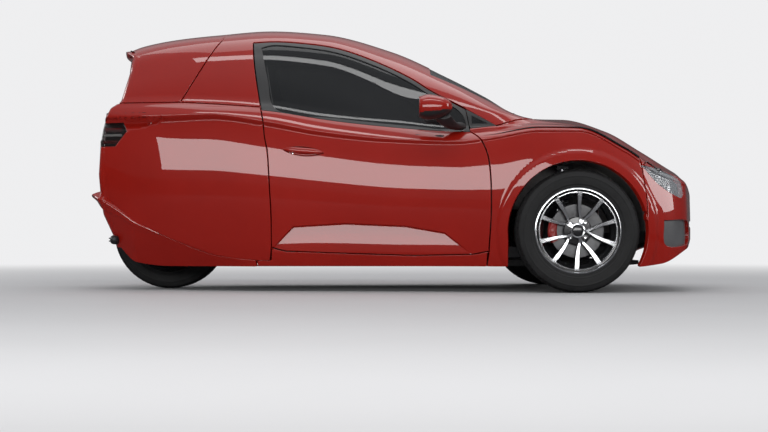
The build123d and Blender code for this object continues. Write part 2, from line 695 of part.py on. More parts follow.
def rim(bore):
    half = RIM_WIDTH / 2
    inner = RIM_SEAT_RADIUS - RIM_WALL
    flange = RIM_SEAT_RADIUS + RIM_FLANGE
    barrel = spin([
        (inner, -half), (flange, -half), (flange, -half + RIM_FLANGE_WIDTH),
        (RIM_SEAT_RADIUS, -half + RIM_FLANGE_WIDTH), (RIM_SEAT_RADIUS, half - RIM_FLANGE_WIDTH),
        (flange, half - RIM_FLANGE_WIDTH), (flange, half), (inner, half),
    ])
    wheel = barrel + spin([(0, HUB_BACK_Y), (HUB_RADIUS, HUB_BACK_Y), (HUB_RADIUS, SPOKE_FACE_Y),
                           (0, SPOKE_FACE_Y)])
    length = inner + RIM_WALL / 2 - HUB_RADIUS / 2
    middle = HUB_RADIUS / 2 + length / 2
    for i in range(SPOKE_COUNT):
        spoke = Pos(middle, SPOKE_FACE_Y - SPOKE_DEPTH / 2, 0) * Box(length, SPOKE_DEPTH, SPOKE_WIDTH)
        wheel += Rot(0, 360.0 / SPOKE_COUNT * (i + 0.5), 0) * spoke
    return wheel - rod_y(bore, -half * 2, half * 2, 0, 0)


def disc():
    back = HUB_BACK_Y - DISC_HAT_DEPTH - DISC_THICKNESS
    ring = spin([
        (AXLE_RADIUS * 2, back), (DISC_RADIUS, back), (DISC_RADIUS, back + DISC_THICKNESS),
        (DISC_HAT_RADIUS, back + DISC_THICKNESS), (DISC_HAT_RADIUS, HUB_BACK_Y),
        (AXLE_RADIUS * 2, HUB_BACK_Y),
    ])
    return ring


def caliper():
    slot0 = HUB_BACK_Y - DISC_HAT_DEPTH - DISC_THICKNESS - CALIPER_GAP
    slot1 = HUB_BACK_Y - DISC_HAT_DEPTH + CALIPER_GAP
    outer = DISC_RADIUS + CALIPER_GAP + CALIPER_RIM
    body = block(-outer, -CALIPER_INNER_X, slot0 - CALIPER_INBOARD, slot1 + CALIPER_OUTBOARD,
                 -CALIPER_HALF_HEIGHT, CALIPER_HALF_HEIGHT)
    slot = block(-DISC_RADIUS - CALIPER_GAP, 0, slot0, slot1, -FAR, FAR)
    return body - slot


def knuckle():
    face = -KINGPIN_INSET + UPRIGHT_DEPTH / 2
    back = -KINGPIN_INSET - UPRIGHT_DEPTH / 2
    caliper_face = HUB_BACK_Y - DISC_HAT_DEPTH - DISC_THICKNESS - CALIPER_GAP - CALIPER_INBOARD
    body = block(-UPRIGHT_HALF_WIDTH, UPRIGHT_HALF_WIDTH, back, face,
                 -UPRIGHT_HALF_HEIGHT, UPRIGHT_HALF_HEIGHT)
    body += rod_y(AXLE_RADIUS, face - SINK, SPOKE_FACE_Y - SPINDLE_END_GAP, 0, 0)
    body += block(-CALIPER_BRACKET_X, 0, back, caliper_face, -BRACKET_HALF_HEIGHT, BRACKET_HALF_HEIGHT)
    for sign in (-1, 1):
        reach = UPRIGHT_HALF_HEIGHT + ARM_GAP + ARM_THICKNESS + PIN_END
        ends = sorted((sign * (UPRIGHT_HALF_HEIGHT - SINK), sign * reach))
        body += rod_z(KINGPIN_RADIUS, ends[0], ends[1], 0, -KINGPIN_INSET)
    return body


def build_wheels(parts):
    for side, name in ((1, "left"), (-1, "right")):
        shapes = {
            f"tyre_front_{name}": tyre(),
            f"rim_front_{name}": rim(AXLE_RADIUS + RUNNING_FIT),
            f"brake_disc_{name}": disc(),
            f"caliper_{name}": caliper(),
            f"knuckle_{name}": knuckle(),
        }
        for key, shape in shapes.items():
            turned = shape if side > 0 else mirrored(shape)
            parts[key] = Pos(FRONT_AXLE_X, side * WHEEL_Y, AXLE_Z) * turned
    parts["tyre_rear"] = Pos(REAR_AXLE_X, 0, AXLE_Z) * tyre()
    parts["rim_rear"] = Pos(REAR_AXLE_X, 0, AXLE_Z) * rim(AXLE_RADIUS + RUNNING_FIT)


# ---------------------------------------------------------------------------------------------
# Front suspension and steering
# ---------------------------------------------------------------------------------------------
def wishbone(z_middle, root_half):
    pivot_y = WHEEL_Y - KINGPIN_INSET
    z0 = z_middle - ARM_THICKNESS / 2
    z1 = z_middle + ARM_THICKNESS / 2
    plan = [
        (FRONT_AXLE_X - root_half, RAIL_OUTER_Y), (FRONT_AXLE_X + root_half, RAIL_OUTER_Y),
        (FRONT_AXLE_X + ARM_EYE_RADIUS, pivot_y), (FRONT_AXLE_X - ARM_EYE_RADIUS, pivot_y),
    ]
    arm = prism_z(plan, z0, z1) + rod_z(ARM_EYE_RADIUS, z0, z1, FRONT_AXLE_X, pivot_y)
    return arm - rod_z(KINGPIN_RADIUS + RUNNING_FIT, z0 - SINK, z1 + SINK, FRONT_AXLE_X, pivot_y)


def build_front_suspension(parts, hollow):
    reach = UPRIGHT_HALF_HEIGHT + ARM_GAP + ARM_THICKNESS / 2
    rail_top = RAIL_BOTTOM + RAIL_HEIGHT
    rail_rear = FRONT_BULKHEAD_X + BULKHEAD_THICKNESS
    frame = block(rail_rear, RAIL_FRONT_X, RAIL_INNER_Y, RAIL_OUTER_Y, RAIL_BOTTOM, rail_top)
    tower_half = TOWER_LENGTH / 2
    frame += block(FRONT_AXLE_X - tower_half, FRONT_AXLE_X + tower_half, RAIL_INNER_Y,
                   RAIL_OUTER_Y, RAIL_BOTTOM, SHELF_Z + SHELF_THICKNESS)
    shelf_x = FRONT_AXLE_X + DAMPER_OFFSET_X
    shelf = block(shelf_x - DAMPER_SEAT_HALF, shelf_x + DAMPER_SEAT_HALF, RAIL_OUTER_Y - SUBFRAME_LAP,
                  DAMPER_Y + DAMPER_SEAT_HALF, SHELF_Z, SHELF_Z + SHELF_THICKNESS)
    frame += shelf
    frame += block(FRONT_AXLE_X - tower_half, FRONT_AXLE_X + tower_half, -RAIL_INNER_Y,
                   RAIL_INNER_Y, GROUND_CLEARANCE + WALL_FLOOR, RAIL_BOTTOM + CROSS_MEMBER_RISE)
    rod_middle_x = FRONT_AXLE_X - STEERING_ARM
    rod_middle_z = AXLE_Z - BRACKET_HALF_HEIGHT - TIE_ROD_GAP - TIE_ROD_RADIUS
    clamp = block(rod_middle_x - RACK_CLAMP_HALF, FRONT_AXLE_X - tower_half + SUBFRAME_LAP, RACK_CLAMP_Y,
                  RACK_CLAMP_Y + RACK_CLAMP_WIDTH, RAIL_BOTTOM, rod_middle_z + RACK_CLAMP_HALF)
    frame += clamp - rod_y(TIE_ROD_RADIUS + RUNNING_FIT, 0, RAIL_INNER_Y, rod_middle_x, rod_middle_z)
    frame += mirrored(frame)
    parts["front_subframe"] = frame

    lower = wishbone(AXLE_Z - reach, ARM_ROOT_HALF)
    upper = wishbone(AXLE_Z + reach, ARM_EYE_RADIUS)
    arms = lower + upper
    parts["front_wishbones"] = one(arms + mirrored(arms))
    damper = rod_z(DAMPER_RADIUS, AXLE_Z - reach + ARM_THICKNESS / 2, SHELF_Z, shelf_x, DAMPER_Y)

    ring = spin([
        (ARCH_RADIUS, RAIL_OUTER_Y), (ARCH_RADIUS + LINER_THICKNESS, RAIL_OUTER_Y),
        (ARCH_RADIUS + LINER_THICKNESS, ARCH_LINER_OUTER_Y), (ARCH_RADIUS, ARCH_LINER_OUTER_Y),
    ])
    web = rod_y(ARCH_RADIUS + LINER_THICKNESS, RAIL_OUTER_Y, RAIL_OUTER_Y + LINER_THICKNESS, 0, 0)
    web = web & block(-FAR, FAR, -FAR, FAR, reach + ARM_THICKNESS, FAR)
    ring = ring & block(-FAR, FAR, -FAR, FAR, 0, FAR)
    liner = Pos(FRONT_AXLE_X, 0, AXLE_Z) * (ring + web)
    liners = (liner + mirrored(liner)) & hollow
    parts["arch_liners"] = one(liners - frame)

    rod_end = WHEEL_Y - KINGPIN_INSET - UPRIGHT_DEPTH / 2
    rack = rod_y(TIE_ROD_RADIUS, -rod_end, rod_end, rod_middle_x, rod_middle_z)
    parts["steering_rack"] = rack
    return damper + mirrored(damper)


# ---------------------------------------------------------------------------------------------
# Rear suspension and heavy masses
# ---------------------------------------------------------------------------------------------
def build_rear_suspension(parts, front_dampers):
    motor_rear = REAR_BULKHEAD_X - MOTOR_LENGTH
    cross_rear = motor_rear - SWING_CROSS_LENGTH
    cross_z0 = AXLE_Z - SWING_CROSS_HEIGHT / 2
    arm_outer = SWING_ARM_Y + SWING_ARM_THICKNESS
    motor_z0 = MOTOR_BOTTOM
    parts["drive_motor"] = block(motor_rear, REAR_BULKHEAD_X, -MOTOR_HALF_WIDTH, MOTOR_HALF_WIDTH,
                                 motor_z0, motor_z0 + MOTOR_HEIGHT)
    arm = block(cross_rear, motor_rear, -arm_outer, arm_outer, cross_z0,
                cross_z0 + SWING_CROSS_HEIGHT)
    for y0 in (SWING_ARM_Y, -arm_outer):
        arm += block(REAR_AXLE_X, cross_rear, y0, y0 + SWING_ARM_THICKNESS,
                     AXLE_Z - SWING_ARM_HEIGHT / 2, AXLE_Z + SWING_ARM_HEIGHT / 2)
        arm += rod_y(SWING_ARM_HEIGHT / 2, y0, y0 + SWING_ARM_THICKNESS, REAR_AXLE_X, AXLE_Z)
    arm += rod_y(AXLE_RADIUS, -arm_outer, arm_outer, REAR_AXLE_X, AXLE_Z)
    parts["swing_arm"] = arm
    rear_damper = rod_z(REAR_DAMPER_RADIUS, cross_z0 + SWING_CROSS_HEIGHT, BOOT_FLOOR_Z,
                        (cross_rear + motor_rear) / 2, 0)
    parts["dampers"] = one(front_dampers + rear_damper)
    floor_top = GROUND_CLEARANCE + WALL_FLOOR
    length, width, height = BATTERY
    parts["battery_pack"] = block(BATTERY_FRONT_X - length, BATTERY_FRONT_X, -width / 2, width / 2,
                                  floor_top, floor_top + height)


# ---------------------------------------------------------------------------------------------
# Cabin
# ---------------------------------------------------------------------------------------------
def build_cabin(parts, hollow):
    floor_top = GROUND_CLEARANCE + WALL_FLOOR
    wall = hollow & block(FRONT_BULKHEAD_X, FRONT_BULKHEAD_X + BULKHEAD_THICKNESS,
                          -FAR, FAR, floor_top, FRONT_BULKHEAD_TOP)
    arch = rod_y(ARCH_RADIUS + LINER_THICKNESS + SEAT_CLEARANCE, RAIL_OUTER_Y - SEAT_CLEARANCE, FAR,
                 FRONT_AXLE_X, AXLE_Z)
    parts["front_bulkhead"] = wall - arch - mirrored(arch)
    parts["rear_bulkhead"] = hollow & block(REAR_BULKHEAD_X, REAR_BULKHEAD_X + BULKHEAD_THICKNESS,
                                            -FAR, FAR, floor_top, REAR_BULKHEAD_TOP)
    parts["boot_floor"] = hollow & block(BOOT_FLOOR_REAR_X, REAR_BULKHEAD_X, -FAR, FAR,
                                         BOOT_FLOOR_Z, BOOT_FLOOR_Z + BOOT_FLOOR_THICKNESS)
    dash_top = FRONT_BULKHEAD_TOP - DASH_DROP
    dashboard = block(FRONT_BULKHEAD_X - DASH_LENGTH, FRONT_BULKHEAD_X, -DASH_HALF_WIDTH,
                      DASH_HALF_WIDTH, dash_top - DASH_HEIGHT, dash_top)
    battery_top = floor_top + BATTERY[2]
    base = block(SEAT_REAR_X, SEAT_FRONT_X, -SEAT_HALF_WIDTH, SEAT_HALF_WIDTH,
                 battery_top + SEAT_CLEARANCE, battery_top + SEAT_CLEARANCE + SEAT_THICKNESS)
    parts["seat_base"] = base
    seat_top = battery_top + SEAT_CLEARANCE * 2 + SEAT_THICKNESS
    back = block(-SEAT_BACK_THICKNESS, 0, -SEAT_BACK_HALF_WIDTH, SEAT_BACK_HALF_WIDTH, 0,
                 SEAT_BACK_HEIGHT - HEADREST_HEIGHT)
    back += block(-SEAT_BACK_THICKNESS, 0, -HEADREST_HALF_WIDTH, HEADREST_HALF_WIDTH,
                  SEAT_BACK_HEIGHT - HEADREST_HEIGHT, SEAT_BACK_HEIGHT)
    back = Pos(SEAT_REAR_X + SEAT_BACK_THICKNESS, 0, seat_top) * (Rot(0, -SEAT_BACK_LEAN, 0) * back)
    back = back & block(-FAR, FAR, -FAR, FAR, seat_top, FAR)
    parts["seat_back"] = back

    wheel = Torus(STEERING_WHEEL_RADIUS, STEERING_GRIP)
    wheel += Cylinder(STEERING_HUB_RADIUS, STEERING_HUB_DEPTH)
    for angle in STEERING_SPOKE_TURNS:
        bar = Pos(STEERING_WHEEL_RADIUS / 2, 0, 0) * Box(STEERING_WHEEL_RADIUS, *STEERING_SPOKE)
        wheel += Rot(0, 0, angle) * bar
    wheel += Pos(0, 0, COLUMN_LENGTH / 2) * Cylinder(COLUMN_RADIUS, COLUMN_LENGTH)
    tilt = Pos(*STEERING_CENTRE) * Rot(0, 90 + STEERING_TILT, 0)
    parts["steering_wheel"] = tilt * wheel
    socket = Pos(0, 0, COLUMN_LENGTH / 2) * Cylinder(COLUMN_RADIUS + SEAT_CLEARANCE, COLUMN_LENGTH + SINK * 2)
    parts["dashboard"] = dashboard - tilt * socket


def build_mirrors(parts):
    cx, cy, cz = MIRROR_CENTRE
    lx, ly, lz = MIRROR_SIZE
    shell = Box(lx, ly, lz)
    shell = fillet(shell.edges(), MIRROR_CORNER)
    head = Pos(cx, cy, cz) * shell
    foot_x, foot_z = MIRROR_ARM_FOOT
    foot_y = skin_y(foot_x, foot_z) - MIRROR_FOOT_DEPTH
    half = MIRROR_ARM_THICKNESS / 2
    head_y = cy - MIRROR_ARM_LAP
    arm_plan = [
        (foot_x - MIRROR_FOOT_HALF, foot_y), (foot_x + MIRROR_FOOT_HALF, foot_y),
        (cx + MIRROR_ARM_FRONT, head_y), (cx - MIRROR_ARM_REAR, head_y),
    ]
    arm = prism_z(arm_plan, foot_z - half, cz - lz / 2 + half)
    head = head + arm
    door = parts["door_left"]
    glass = parts["door_glass_left"]
    mirror_left = largest(head - door - glass)
    parts["mirror_left"] = mirror_left
    parts["mirror_right"] = mirrored(mirror_left)


def main():
    parts = {}
    hollow = build_panels(parts)
    build_wheels(parts)
    front_dampers = build_front_suspension(parts, hollow)
    build_rear_suspension(parts, front_dampers)
    build_cabin(parts, hollow)
    build_mirrors(parts)
    os.makedirs("parts", exist_ok=True)
    for name, shape in parts.items():
        export_step(one(shape), f"parts/{name}.step")


main()
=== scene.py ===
import json
import math

import bmesh
import bpy
import numpy as np
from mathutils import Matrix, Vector
from mathutils.geometry import delaunay_2d_cdt


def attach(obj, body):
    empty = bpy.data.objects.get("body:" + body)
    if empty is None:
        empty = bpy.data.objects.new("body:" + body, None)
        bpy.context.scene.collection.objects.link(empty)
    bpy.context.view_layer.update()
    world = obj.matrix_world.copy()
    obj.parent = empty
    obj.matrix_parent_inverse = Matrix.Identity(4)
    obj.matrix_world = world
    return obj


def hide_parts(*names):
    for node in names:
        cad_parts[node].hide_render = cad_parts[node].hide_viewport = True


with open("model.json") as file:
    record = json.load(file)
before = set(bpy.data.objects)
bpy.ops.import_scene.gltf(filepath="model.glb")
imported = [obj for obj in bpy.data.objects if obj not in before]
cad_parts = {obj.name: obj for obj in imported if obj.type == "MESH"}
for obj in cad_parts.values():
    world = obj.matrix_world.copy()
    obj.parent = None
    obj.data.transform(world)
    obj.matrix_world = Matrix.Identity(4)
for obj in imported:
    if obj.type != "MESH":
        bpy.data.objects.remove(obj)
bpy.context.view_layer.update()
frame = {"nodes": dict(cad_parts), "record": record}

MM = 0.001

# ---------------------------------------------------------------------------------------------
# Body sections, in millimetres, tail to nose: the same driving sizes as the solids
# ---------------------------------------------------------------------------------------------
GROUND_CLEARANCE = 121.0
SECTIONS = np.array((
    # x, z_floor, y_floor, bulge, lip, y_crease, z_crease, y_belt, z_belt, y_rail, z_rail, z_top
    (-1480, 330, 345, 8, 26, 400, 850, 365, 926, 285, 1120, 1180),
    (-1400, 255, 360, 16, 28, 428, 850, 387, 928, 302, 1150, 1212),
    (-1280, 140, 385, 22, 28, 458, 850, 407, 929, 322, 1190, 1262),
    (-1100, GROUND_CLEARANCE, 420, 28, 26, 492, 853, 436, 927, 350, 1222, 1296),
    (-900, GROUND_CLEARANCE, 456, 30, 22, 522, 858, 463, 918, 375, 1240, 1317),
    (-620, GROUND_CLEARANCE, 494, 32, 16, 551, 820, 492, 899, 398, 1247, 1339),
    (-350, GROUND_CLEARANCE, 522, 32, 13, 573, 768, 509, 853, 402, 1226, 1322),
    (0, GROUND_CLEARANCE, 559, 32, 11, 600, 731, 525, 811, 408, 1108, 1233),
    (300, GROUND_CLEARANCE, 597, 32, 9, 633, 719, 540, 783, 458, 1000, 1092),
    (470, GROUND_CLEARANCE, 632, 30, 7, 660, 735, 555, 790, 512, 912, 1000),
    (690, GROUND_CLEARANCE, 682, 32, 5, 707, 768, 602, 808, 470, 846, 872),
    (876, GROUND_CLEARANCE, 703, 34, 4, 703, 768, 612, 795, 420, 825, 876),
    (1100, GROUND_CLEARANCE, 699, 32, 4, 677, 672, 592, 700, 400, 726, 820),
    (1280, 138, 650, 22, 4, 620, 562, 540, 598, 380, 622, 718),
    (1420, 205, 540, 16, 4, 510, 520, 430, 550, 300, 576, 628),
    (1480, 232, 350, 10, 4, 335, 495, 290, 522, 210, 545, 596),
    (1525, 258, 180, 7, 4, 170, 465, 145, 487, 100, 500, 552),
    (1557, 300, 70, 3, 2, 66, 400, 52, 430, 25, 446, 450),
), float)
# Samples of a half section in each stretch, from the floor edge to the roof's middle
SIDE_SAMPLES, LIP_SAMPLES, SHOULDER_SAMPLES, WINDOW_SAMPLES, ROOF_SAMPLES = 120, 6, 28, 70, 60
CREASE = SIDE_SAMPLES + LIP_SAMPLES
BELT = CREASE + SHOULDER_SAMPLES
RAIL = BELT + WINDOW_SAMPLES
MIDDLE = RAIL + ROOF_SAMPLES

TAIL_PROFILE = np.array((
    (60, -1400), (235, -1400), (380, -1462), (500, -1470), (575, -1476), (711, -1466), (832, -1450),
    (858, -1430), (930, -1400), (1090, -1360), (1172, -1356), (1196, -1384), (1214, -1388),
    (1300, -1390),
), float)
# Height against the plan radius of the tail corner, and against how far the tail bows rearwards
TAIL_CORNER = ((200, 500, 860, 905, 940, 1160, 1220), (24, 34, 20, 20, 42, 42, 34))
TAIL_CROWN = ((200, 500, 860, 905, 940, 1160, 1220), (12, 12, 12, 14, 44, 46, 46))
TAIL_START, TAIL_SPAN, CORNER_SPAN, FACE_SPAN = -1100.0, 330.0, 48.0, 380.0
NOSE_START, NOSE_TIP, NOSE_SPAN, NOSE_MIDDLE_Z = 1500.0, 1556.5, 360.0, 372.0
SKIN_STEP, STATION_STEP = 5.0, 4.0
ROUNDING_PASSES = 200

# Forms pressed into the sides
SCALLOP_TOP = np.array(((-590, 205), (-483, 318), (-232, 333), (60, 320), (249, 287), (385, 180)), float)
SCALLOP_FOOT_Z = 190.0
SCALLOP_SLOPE = 0.24
FACET_FOOT = np.array(((-1480, 786), (-1308, 788), (-1216, 798), (-1166, 822), (-1105, 857)), float)
FACET_TOP_Z, FACET_DEPTH, FACET_FRONT_X = 846.0, 30.0, -1105.0
SKIRT_CREASE = np.array(((-1478, 497), (-1278, 342), (-1098, 260), (-876, 178), (-640, 140)), float)
SKIRT_LEAN, SKIRT_FRONT_X = 0.34, -640.0
ARCH_RADIUS = 335.0
FLARE_RADIUS = 392.0
FLARE_RISE = 7.0
FRONT_AXLE_X = 876.0
REAR_AXLE_X = -1156.0
AXLE_Z = 293.0
HALF_TRACK = 632.0


def smooth_curve(xs, ys, x):
    """A smooth curve through points that never overshoots them."""
    step = np.diff(xs)
    slope = np.diff(ys) / step
    tangent = np.zeros_like(ys)
    tangent[0], tangent[-1] = slope[0], slope[-1]
    same = slope[:-1] * slope[1:] > 0
    w1, w2 = 2 * step[1:] + step[:-1], step[1:] + 2 * step[:-1]
    before, after = np.where(same, slope[:-1], 1.0), np.where(same, slope[1:], 1.0)
    tangent[1:-1] = np.where(same, (w1 + w2) / (w1 / before + w2 / after), 0.0)
    i = np.clip(np.searchsorted(xs, x) - 1, 0, len(step) - 1)
    h = step[i]
    s = np.clip((x - xs[i]) / h, 0.0, 1.0)
    return (ys[i] * (1 + 2 * s) * (1 - s) ** 2 + tangent[i] * h * s * (1 - s) ** 2
            + ys[i + 1] * s * s * (3 - 2 * s) + tangent[i + 1] * h * s * s * (s - 1))


def ease(t):
    t = np.clip(t, 0, 1)
    return t * t * (3 - 2 * t)


def bend(a, b, push, samples):
    """Points along a shallow arc from a to b, whose middle is pushed out."""
    s = (np.arange(1, samples + 1) / samples)[None, :, None]
    control = (a + b) / 2 + 2 * push
    return (1 - s) ** 2 * a[:, None] + 2 * s * (1 - s) * control[:, None] + s * s * b[:, None]


def half_sections(x):
    """Half sections of the body at many stations, as stations by samples by (y, z)."""
    (z_floor, y_floor, bulge, lip, y_crease, z_crease, y_belt, z_belt, y_rail, z_rail, z_top) = (
        smooth_curve(SECTIONS[:, 0], SECTIONS[:, i], x) for i in range(1, 12))

    def corner(y, z):
        return np.stack([y, z], axis=1)

    zero = np.zeros_like(x)
    floor, crease = corner(y_floor, z_floor), corner(y_crease, z_crease)
    under = corner(y_crease - lip, z_crease - lip * 0.5)
    belt, rail = corner(y_belt, z_belt), corner(y_rail, z_rail)
    s = np.arange(1, ROOF_SAMPLES + 1) / ROOF_SAMPLES
    roof = np.stack([y_rail[:, None] * (1 - s),
                     z_top[:, None] - (z_top - z_rail)[:, None] * (1 - s) ** 2], axis=2)
    rows = np.concatenate([
        floor[:, None],
        bend(floor, under, corner(bulge, zero), SIDE_SAMPLES),
        bend(under, crease, corner(zero, zero), LIP_SAMPLES),
        bend(crease, belt, corner(zero + 7, zero + 7), SHOULDER_SAMPLES),
        bend(belt, rail, corner(zero + 9, zero + 3), WINDOW_SAMPLES),
        roof], axis=1)
    index = np.arange(rows.shape[1])
    soft = np.exp(-((index - RAIL) / 18.0) ** 2) + 0.2 * np.exp(-((index - BELT) / 6.0) ** 2)
    soft += 0.02 * np.exp(-((index - CREASE) / 3.0) ** 2)
    weight = np.clip(soft, 0, 1)[None, 1:-1, None] * 0.5
    for _ in range(ROUNDING_PASSES):
        rows[:, 1:-1] += weight * (rows[:, :-2] + rows[:, 2:] - 2 * rows[:, 1:-1])
    return rows


def pressed(x, z):
    """How far the skin stands out (+) or in (-) at side-view points."""
    top = np.interp(x, SCALLOP_TOP[:, 0], SCALLOP_TOP[:, 1], left=0, right=0)
    inside = ease((top - z) / 8.0) * (z > SCALLOP_FOOT_Z)
    dent = -SCALLOP_SLOPE * (z - SCALLOP_FOOT_Z) * inside
    foot = np.interp(x, FACET_FOOT[:, 0], FACET_FOOT[:, 1], left=2000, right=2000)
    rise = np.clip((z - foot) / np.maximum(FACET_TOP_Z - foot, 8.0), 0, 1.15)
    dent -= (FACET_DEPTH * rise * (z < FACET_TOP_Z + 4) * (x < FACET_FRONT_X)
             * ease((FACET_FRONT_X - x) / 60.0))
    skirt = np.interp(x, SKIRT_CREASE[:, 0], SKIRT_CREASE[:, 1])
    dent -= (SKIRT_LEAN * np.clip(skirt - z, 0, 400) * (x < SKIRT_FRONT_X)
             * ease((SKIRT_FRONT_X - x) / 200.0))
    from_axle = np.hypot(x - FRONT_AXLE_X, z - AXLE_Z)
    flare = FLARE_RISE * ease((FLARE_RADIUS - from_axle) / 24.0) * (x > 300) * (x < 1400)
    return dent + flare


class BodySkin:
    """The outer skin of the left half as a chart: u runs from tail to nose, g from floor to roof."""

    def __init__(self):
        self.stations = np.arange(-1500.0, 1558.0, STATION_STEP)
        self.table = half_sections(self.stations)
        self.face_end = TAIL_START - TAIL_SPAN - CORNER_SPAN
        main = np.linspace(TAIL_START, NOSE_START, int((NOSE_START - TAIL_START) / SKIN_STEP))
        middle = [self.ring(np.full(MIDDLE + 1, x)) for x in main]
        tail, tail_u = self.tail_rows()
        nose, nose_u = self.nose_rows(middle[-1])
        self.p = np.array(tail + middle + nose)
        self.u = np.concatenate([tail_u, main, nose_u])
        length = np.linalg.norm(np.diff(self.p[120:-45], axis=1), axis=2).mean(0)
        self.g = np.concatenate([[0], np.cumsum(np.maximum(length, 0.8))])
        fade = ease((BELT - np.arange(MIDDLE + 1)) / 20.0) * np.clip(self.p[:, :, 1] / 60, 0, 1)
        self.fade = fade[:, :, None]
        self.n = self.normals()

    def tail_rows(self):
        """Rows from the middle of the tail face round its corner to the flank, and their u."""
        end = np.full(MIDDLE + 1, -1400.0)
        for _ in range(60):
            here = self.ring(end)
            radius = np.interp(here[:, 2], *TAIL_CORNER)
            crown = np.interp(here[:, 2], *TAIL_CROWN) * np.clip(here[:, 1] / 300.0, 0, 1) ** 2
            end += 0.5 * (np.interp(here[:, 2], TAIL_PROFILE[:, 0], TAIL_PROFILE[:, 1])
                          + radius + crown - end)
        rows, us = [], []
        for s in np.linspace(1, 0, 66, endpoint=False):
            rows.append(self.ring(TAIL_START + (end - TAIL_START) * s))
            us.append(TAIL_START - TAIL_SPAN * s)
        last = rows[0]
        radius = np.minimum(radius, last[:, 1] * 0.9 + 0.01)
        corner, corner_u = [], []
        for s in np.linspace(1, 0, 14, endpoint=False):
            turn = s * math.pi / 2
            corner.append(np.column_stack([last[:, 0] - radius * math.sin(turn),
                                           last[:, 1] - radius * (1 - math.cos(turn)), last[:, 2]]))
            corner_u.append(TAIL_START - TAIL_SPAN - CORNER_SPAN * s)
        edge = corner[0]
        face, face_u = [], []
        for s in np.linspace(1, 0, 50, endpoint=False):
            bow = crown * (1 - (1 - s) ** 2)
            face.append(np.column_stack([edge[:, 0] - bow, edge[:, 1] * (1 - s), edge[:, 2]]))
            face_u.append(self.face_end - FACE_SPAN * s)
        return face + corner + rows, face_u + corner_u + us

    def nose_rows(self, rim):
        """Rows that close the nose from its rim to its middle, and their u."""
        rows, us = [], []
        for s in np.linspace(0, 1, 41)[1:]:
            out = (NOSE_TIP - NOSE_START) * (1 - (1 - s) ** 1.4)
            rows.append(np.column_stack([rim[:, 0] + out, rim[:, 1] * (1 - s),
                                         NOSE_MIDDLE_Z + (rim[:, 2] - NOSE_MIDDLE_Z) * (1 - 0.38 * s)]))
            us.append(NOSE_START + NOSE_SPAN * s)
        return rows, us

    def normals(self):
        """Outward normals of the plain skin, without a sideways part in the car's middle plane."""
        along = np.gradient(self.p, self.u, axis=0)
        up = np.gradient(self.p, self.g, axis=1)
        normal = np.cross(up, along)
        length = np.linalg.norm(normal, axis=2, keepdims=True)
        ends = np.where(self.p[:, :, :1] < 0, -1.0, 1.0) * np.array([1.0, 0, 0])
        normal = np.where(length > 1e-3, normal / np.maximum(length, 1e-9), ends)
        normal[:, -1, 1] = 0
        normal[0, :, 1] = 0
        normal[-1, :, 1] = 0
        return normal / np.linalg.norm(normal, axis=2, keepdims=True)

    def ring(self, x):
        """The section samples, each at its own station."""
        t = np.clip((x - self.stations[0]) / STATION_STEP, 0, len(self.stations) - 1.001)
        i = t.astype(int)
        s = (t - i)[:, None]
        j = np.arange(MIDDLE + 1)
        return np.column_stack([x, self.table[i, j] * (1 - s) + self.table[i + 1, j] * s])

    def at(self, u, g, field=None):
        """Positions (or normals) at chart points."""
        p = self.p if field is None else field
        u, g = np.asarray(u, float), np.asarray(g, float)
        i = np.clip(np.searchsorted(self.u, u) - 1, 0, len(self.u) - 2)
        j = np.clip(np.searchsorted(self.g, g) - 1, 0, len(self.g) - 2)
        a = np.clip((u - self.u[i]) / (self.u[i + 1] - self.u[i]), 0, 1)[:, None]
        b = np.clip((g - self.g[j]) / (self.g[j + 1] - self.g[j]), 0, 1)[:, None]
        return ((p[i, j] * (1 - a) + p[i + 1, j] * a) * (1 - b)
                + (p[i, j + 1] * (1 - a) + p[i + 1, j + 1] * a) * b)

    def line(self, u):
        i = int(np.clip(np.searchsorted(self.u, u) - 1, 0, len(self.u) - 2))
        a = (u - self.u[i]) / (self.u[i + 1] - self.u[i])
        return self.p[i] * (1 - a) + self.p[i + 1] * a

    def from_side(self, x, z):
        """Chart point of a side-view point."""
        u = x
        for _ in range(14):
            g = float(np.interp(z, self.line(u)[:, 2], self.g))
            here = self.at([u], [g])[0]
            u = float(np.clip(u + (x - here[0]), self.face_end, NOSE_START))
        return u, g

    def from_top(self, x, y):
        """Chart point of a plan-view point on the bonnet, the screen or the roof."""
        line = self.line(x)
        return x, float(np.interp(-y, -line[CREASE:, 1], self.g[CREASE:]))

    def from_tail(self, y, z):
        """Chart point of a point of the tail face seen from behind."""
        g = float(np.interp(z, self.line(self.face_end)[:, 2], self.g))
        edge = self.at([self.face_end], [g])[0]
        return self.face_end - FACE_SPAN * float(np.clip(1 - y / max(edge[1], 1.0), 0, 1)), g

    def from_nose(self, y, z):
        """Chart point of a point of the nose seen from the front."""
        line = self.line(NOSE_START)
        g = float(np.interp(z, line[:, 2], self.g))
        edge = self.at([NOSE_START], [g])[0]
        return NOSE_START + NOSE_SPAN * float(np.clip(1 - y / max(edge[1], 1.0), 0, 1)), g


SKIN = BodySkin()


def skin_points(u, g, sink=0.0):
    """Positions and outward normals at chart points, with the pressed forms laid on."""
    point, normal = SKIN.at(u, g), SKIN.at(u, g, SKIN.n)
    share = SKIN.at(u, g, SKIN.fade)[:, 0]
    x, z = point[:, 0].copy(), point[:, 2].copy()
    point[:, 1] += pressed(x, z) * share
    steep = share * normal[:, 1] / 2
    normal[:, 0] -= (pressed(x + 1, z) - pressed(x - 1, z)) * steep
    normal[:, 2] -= (pressed(x, z + 1) - pressed(x, z - 1)) * steep
    normal /= np.linalg.norm(normal, axis=1, keepdims=True)
    return point - normal * sink, normal


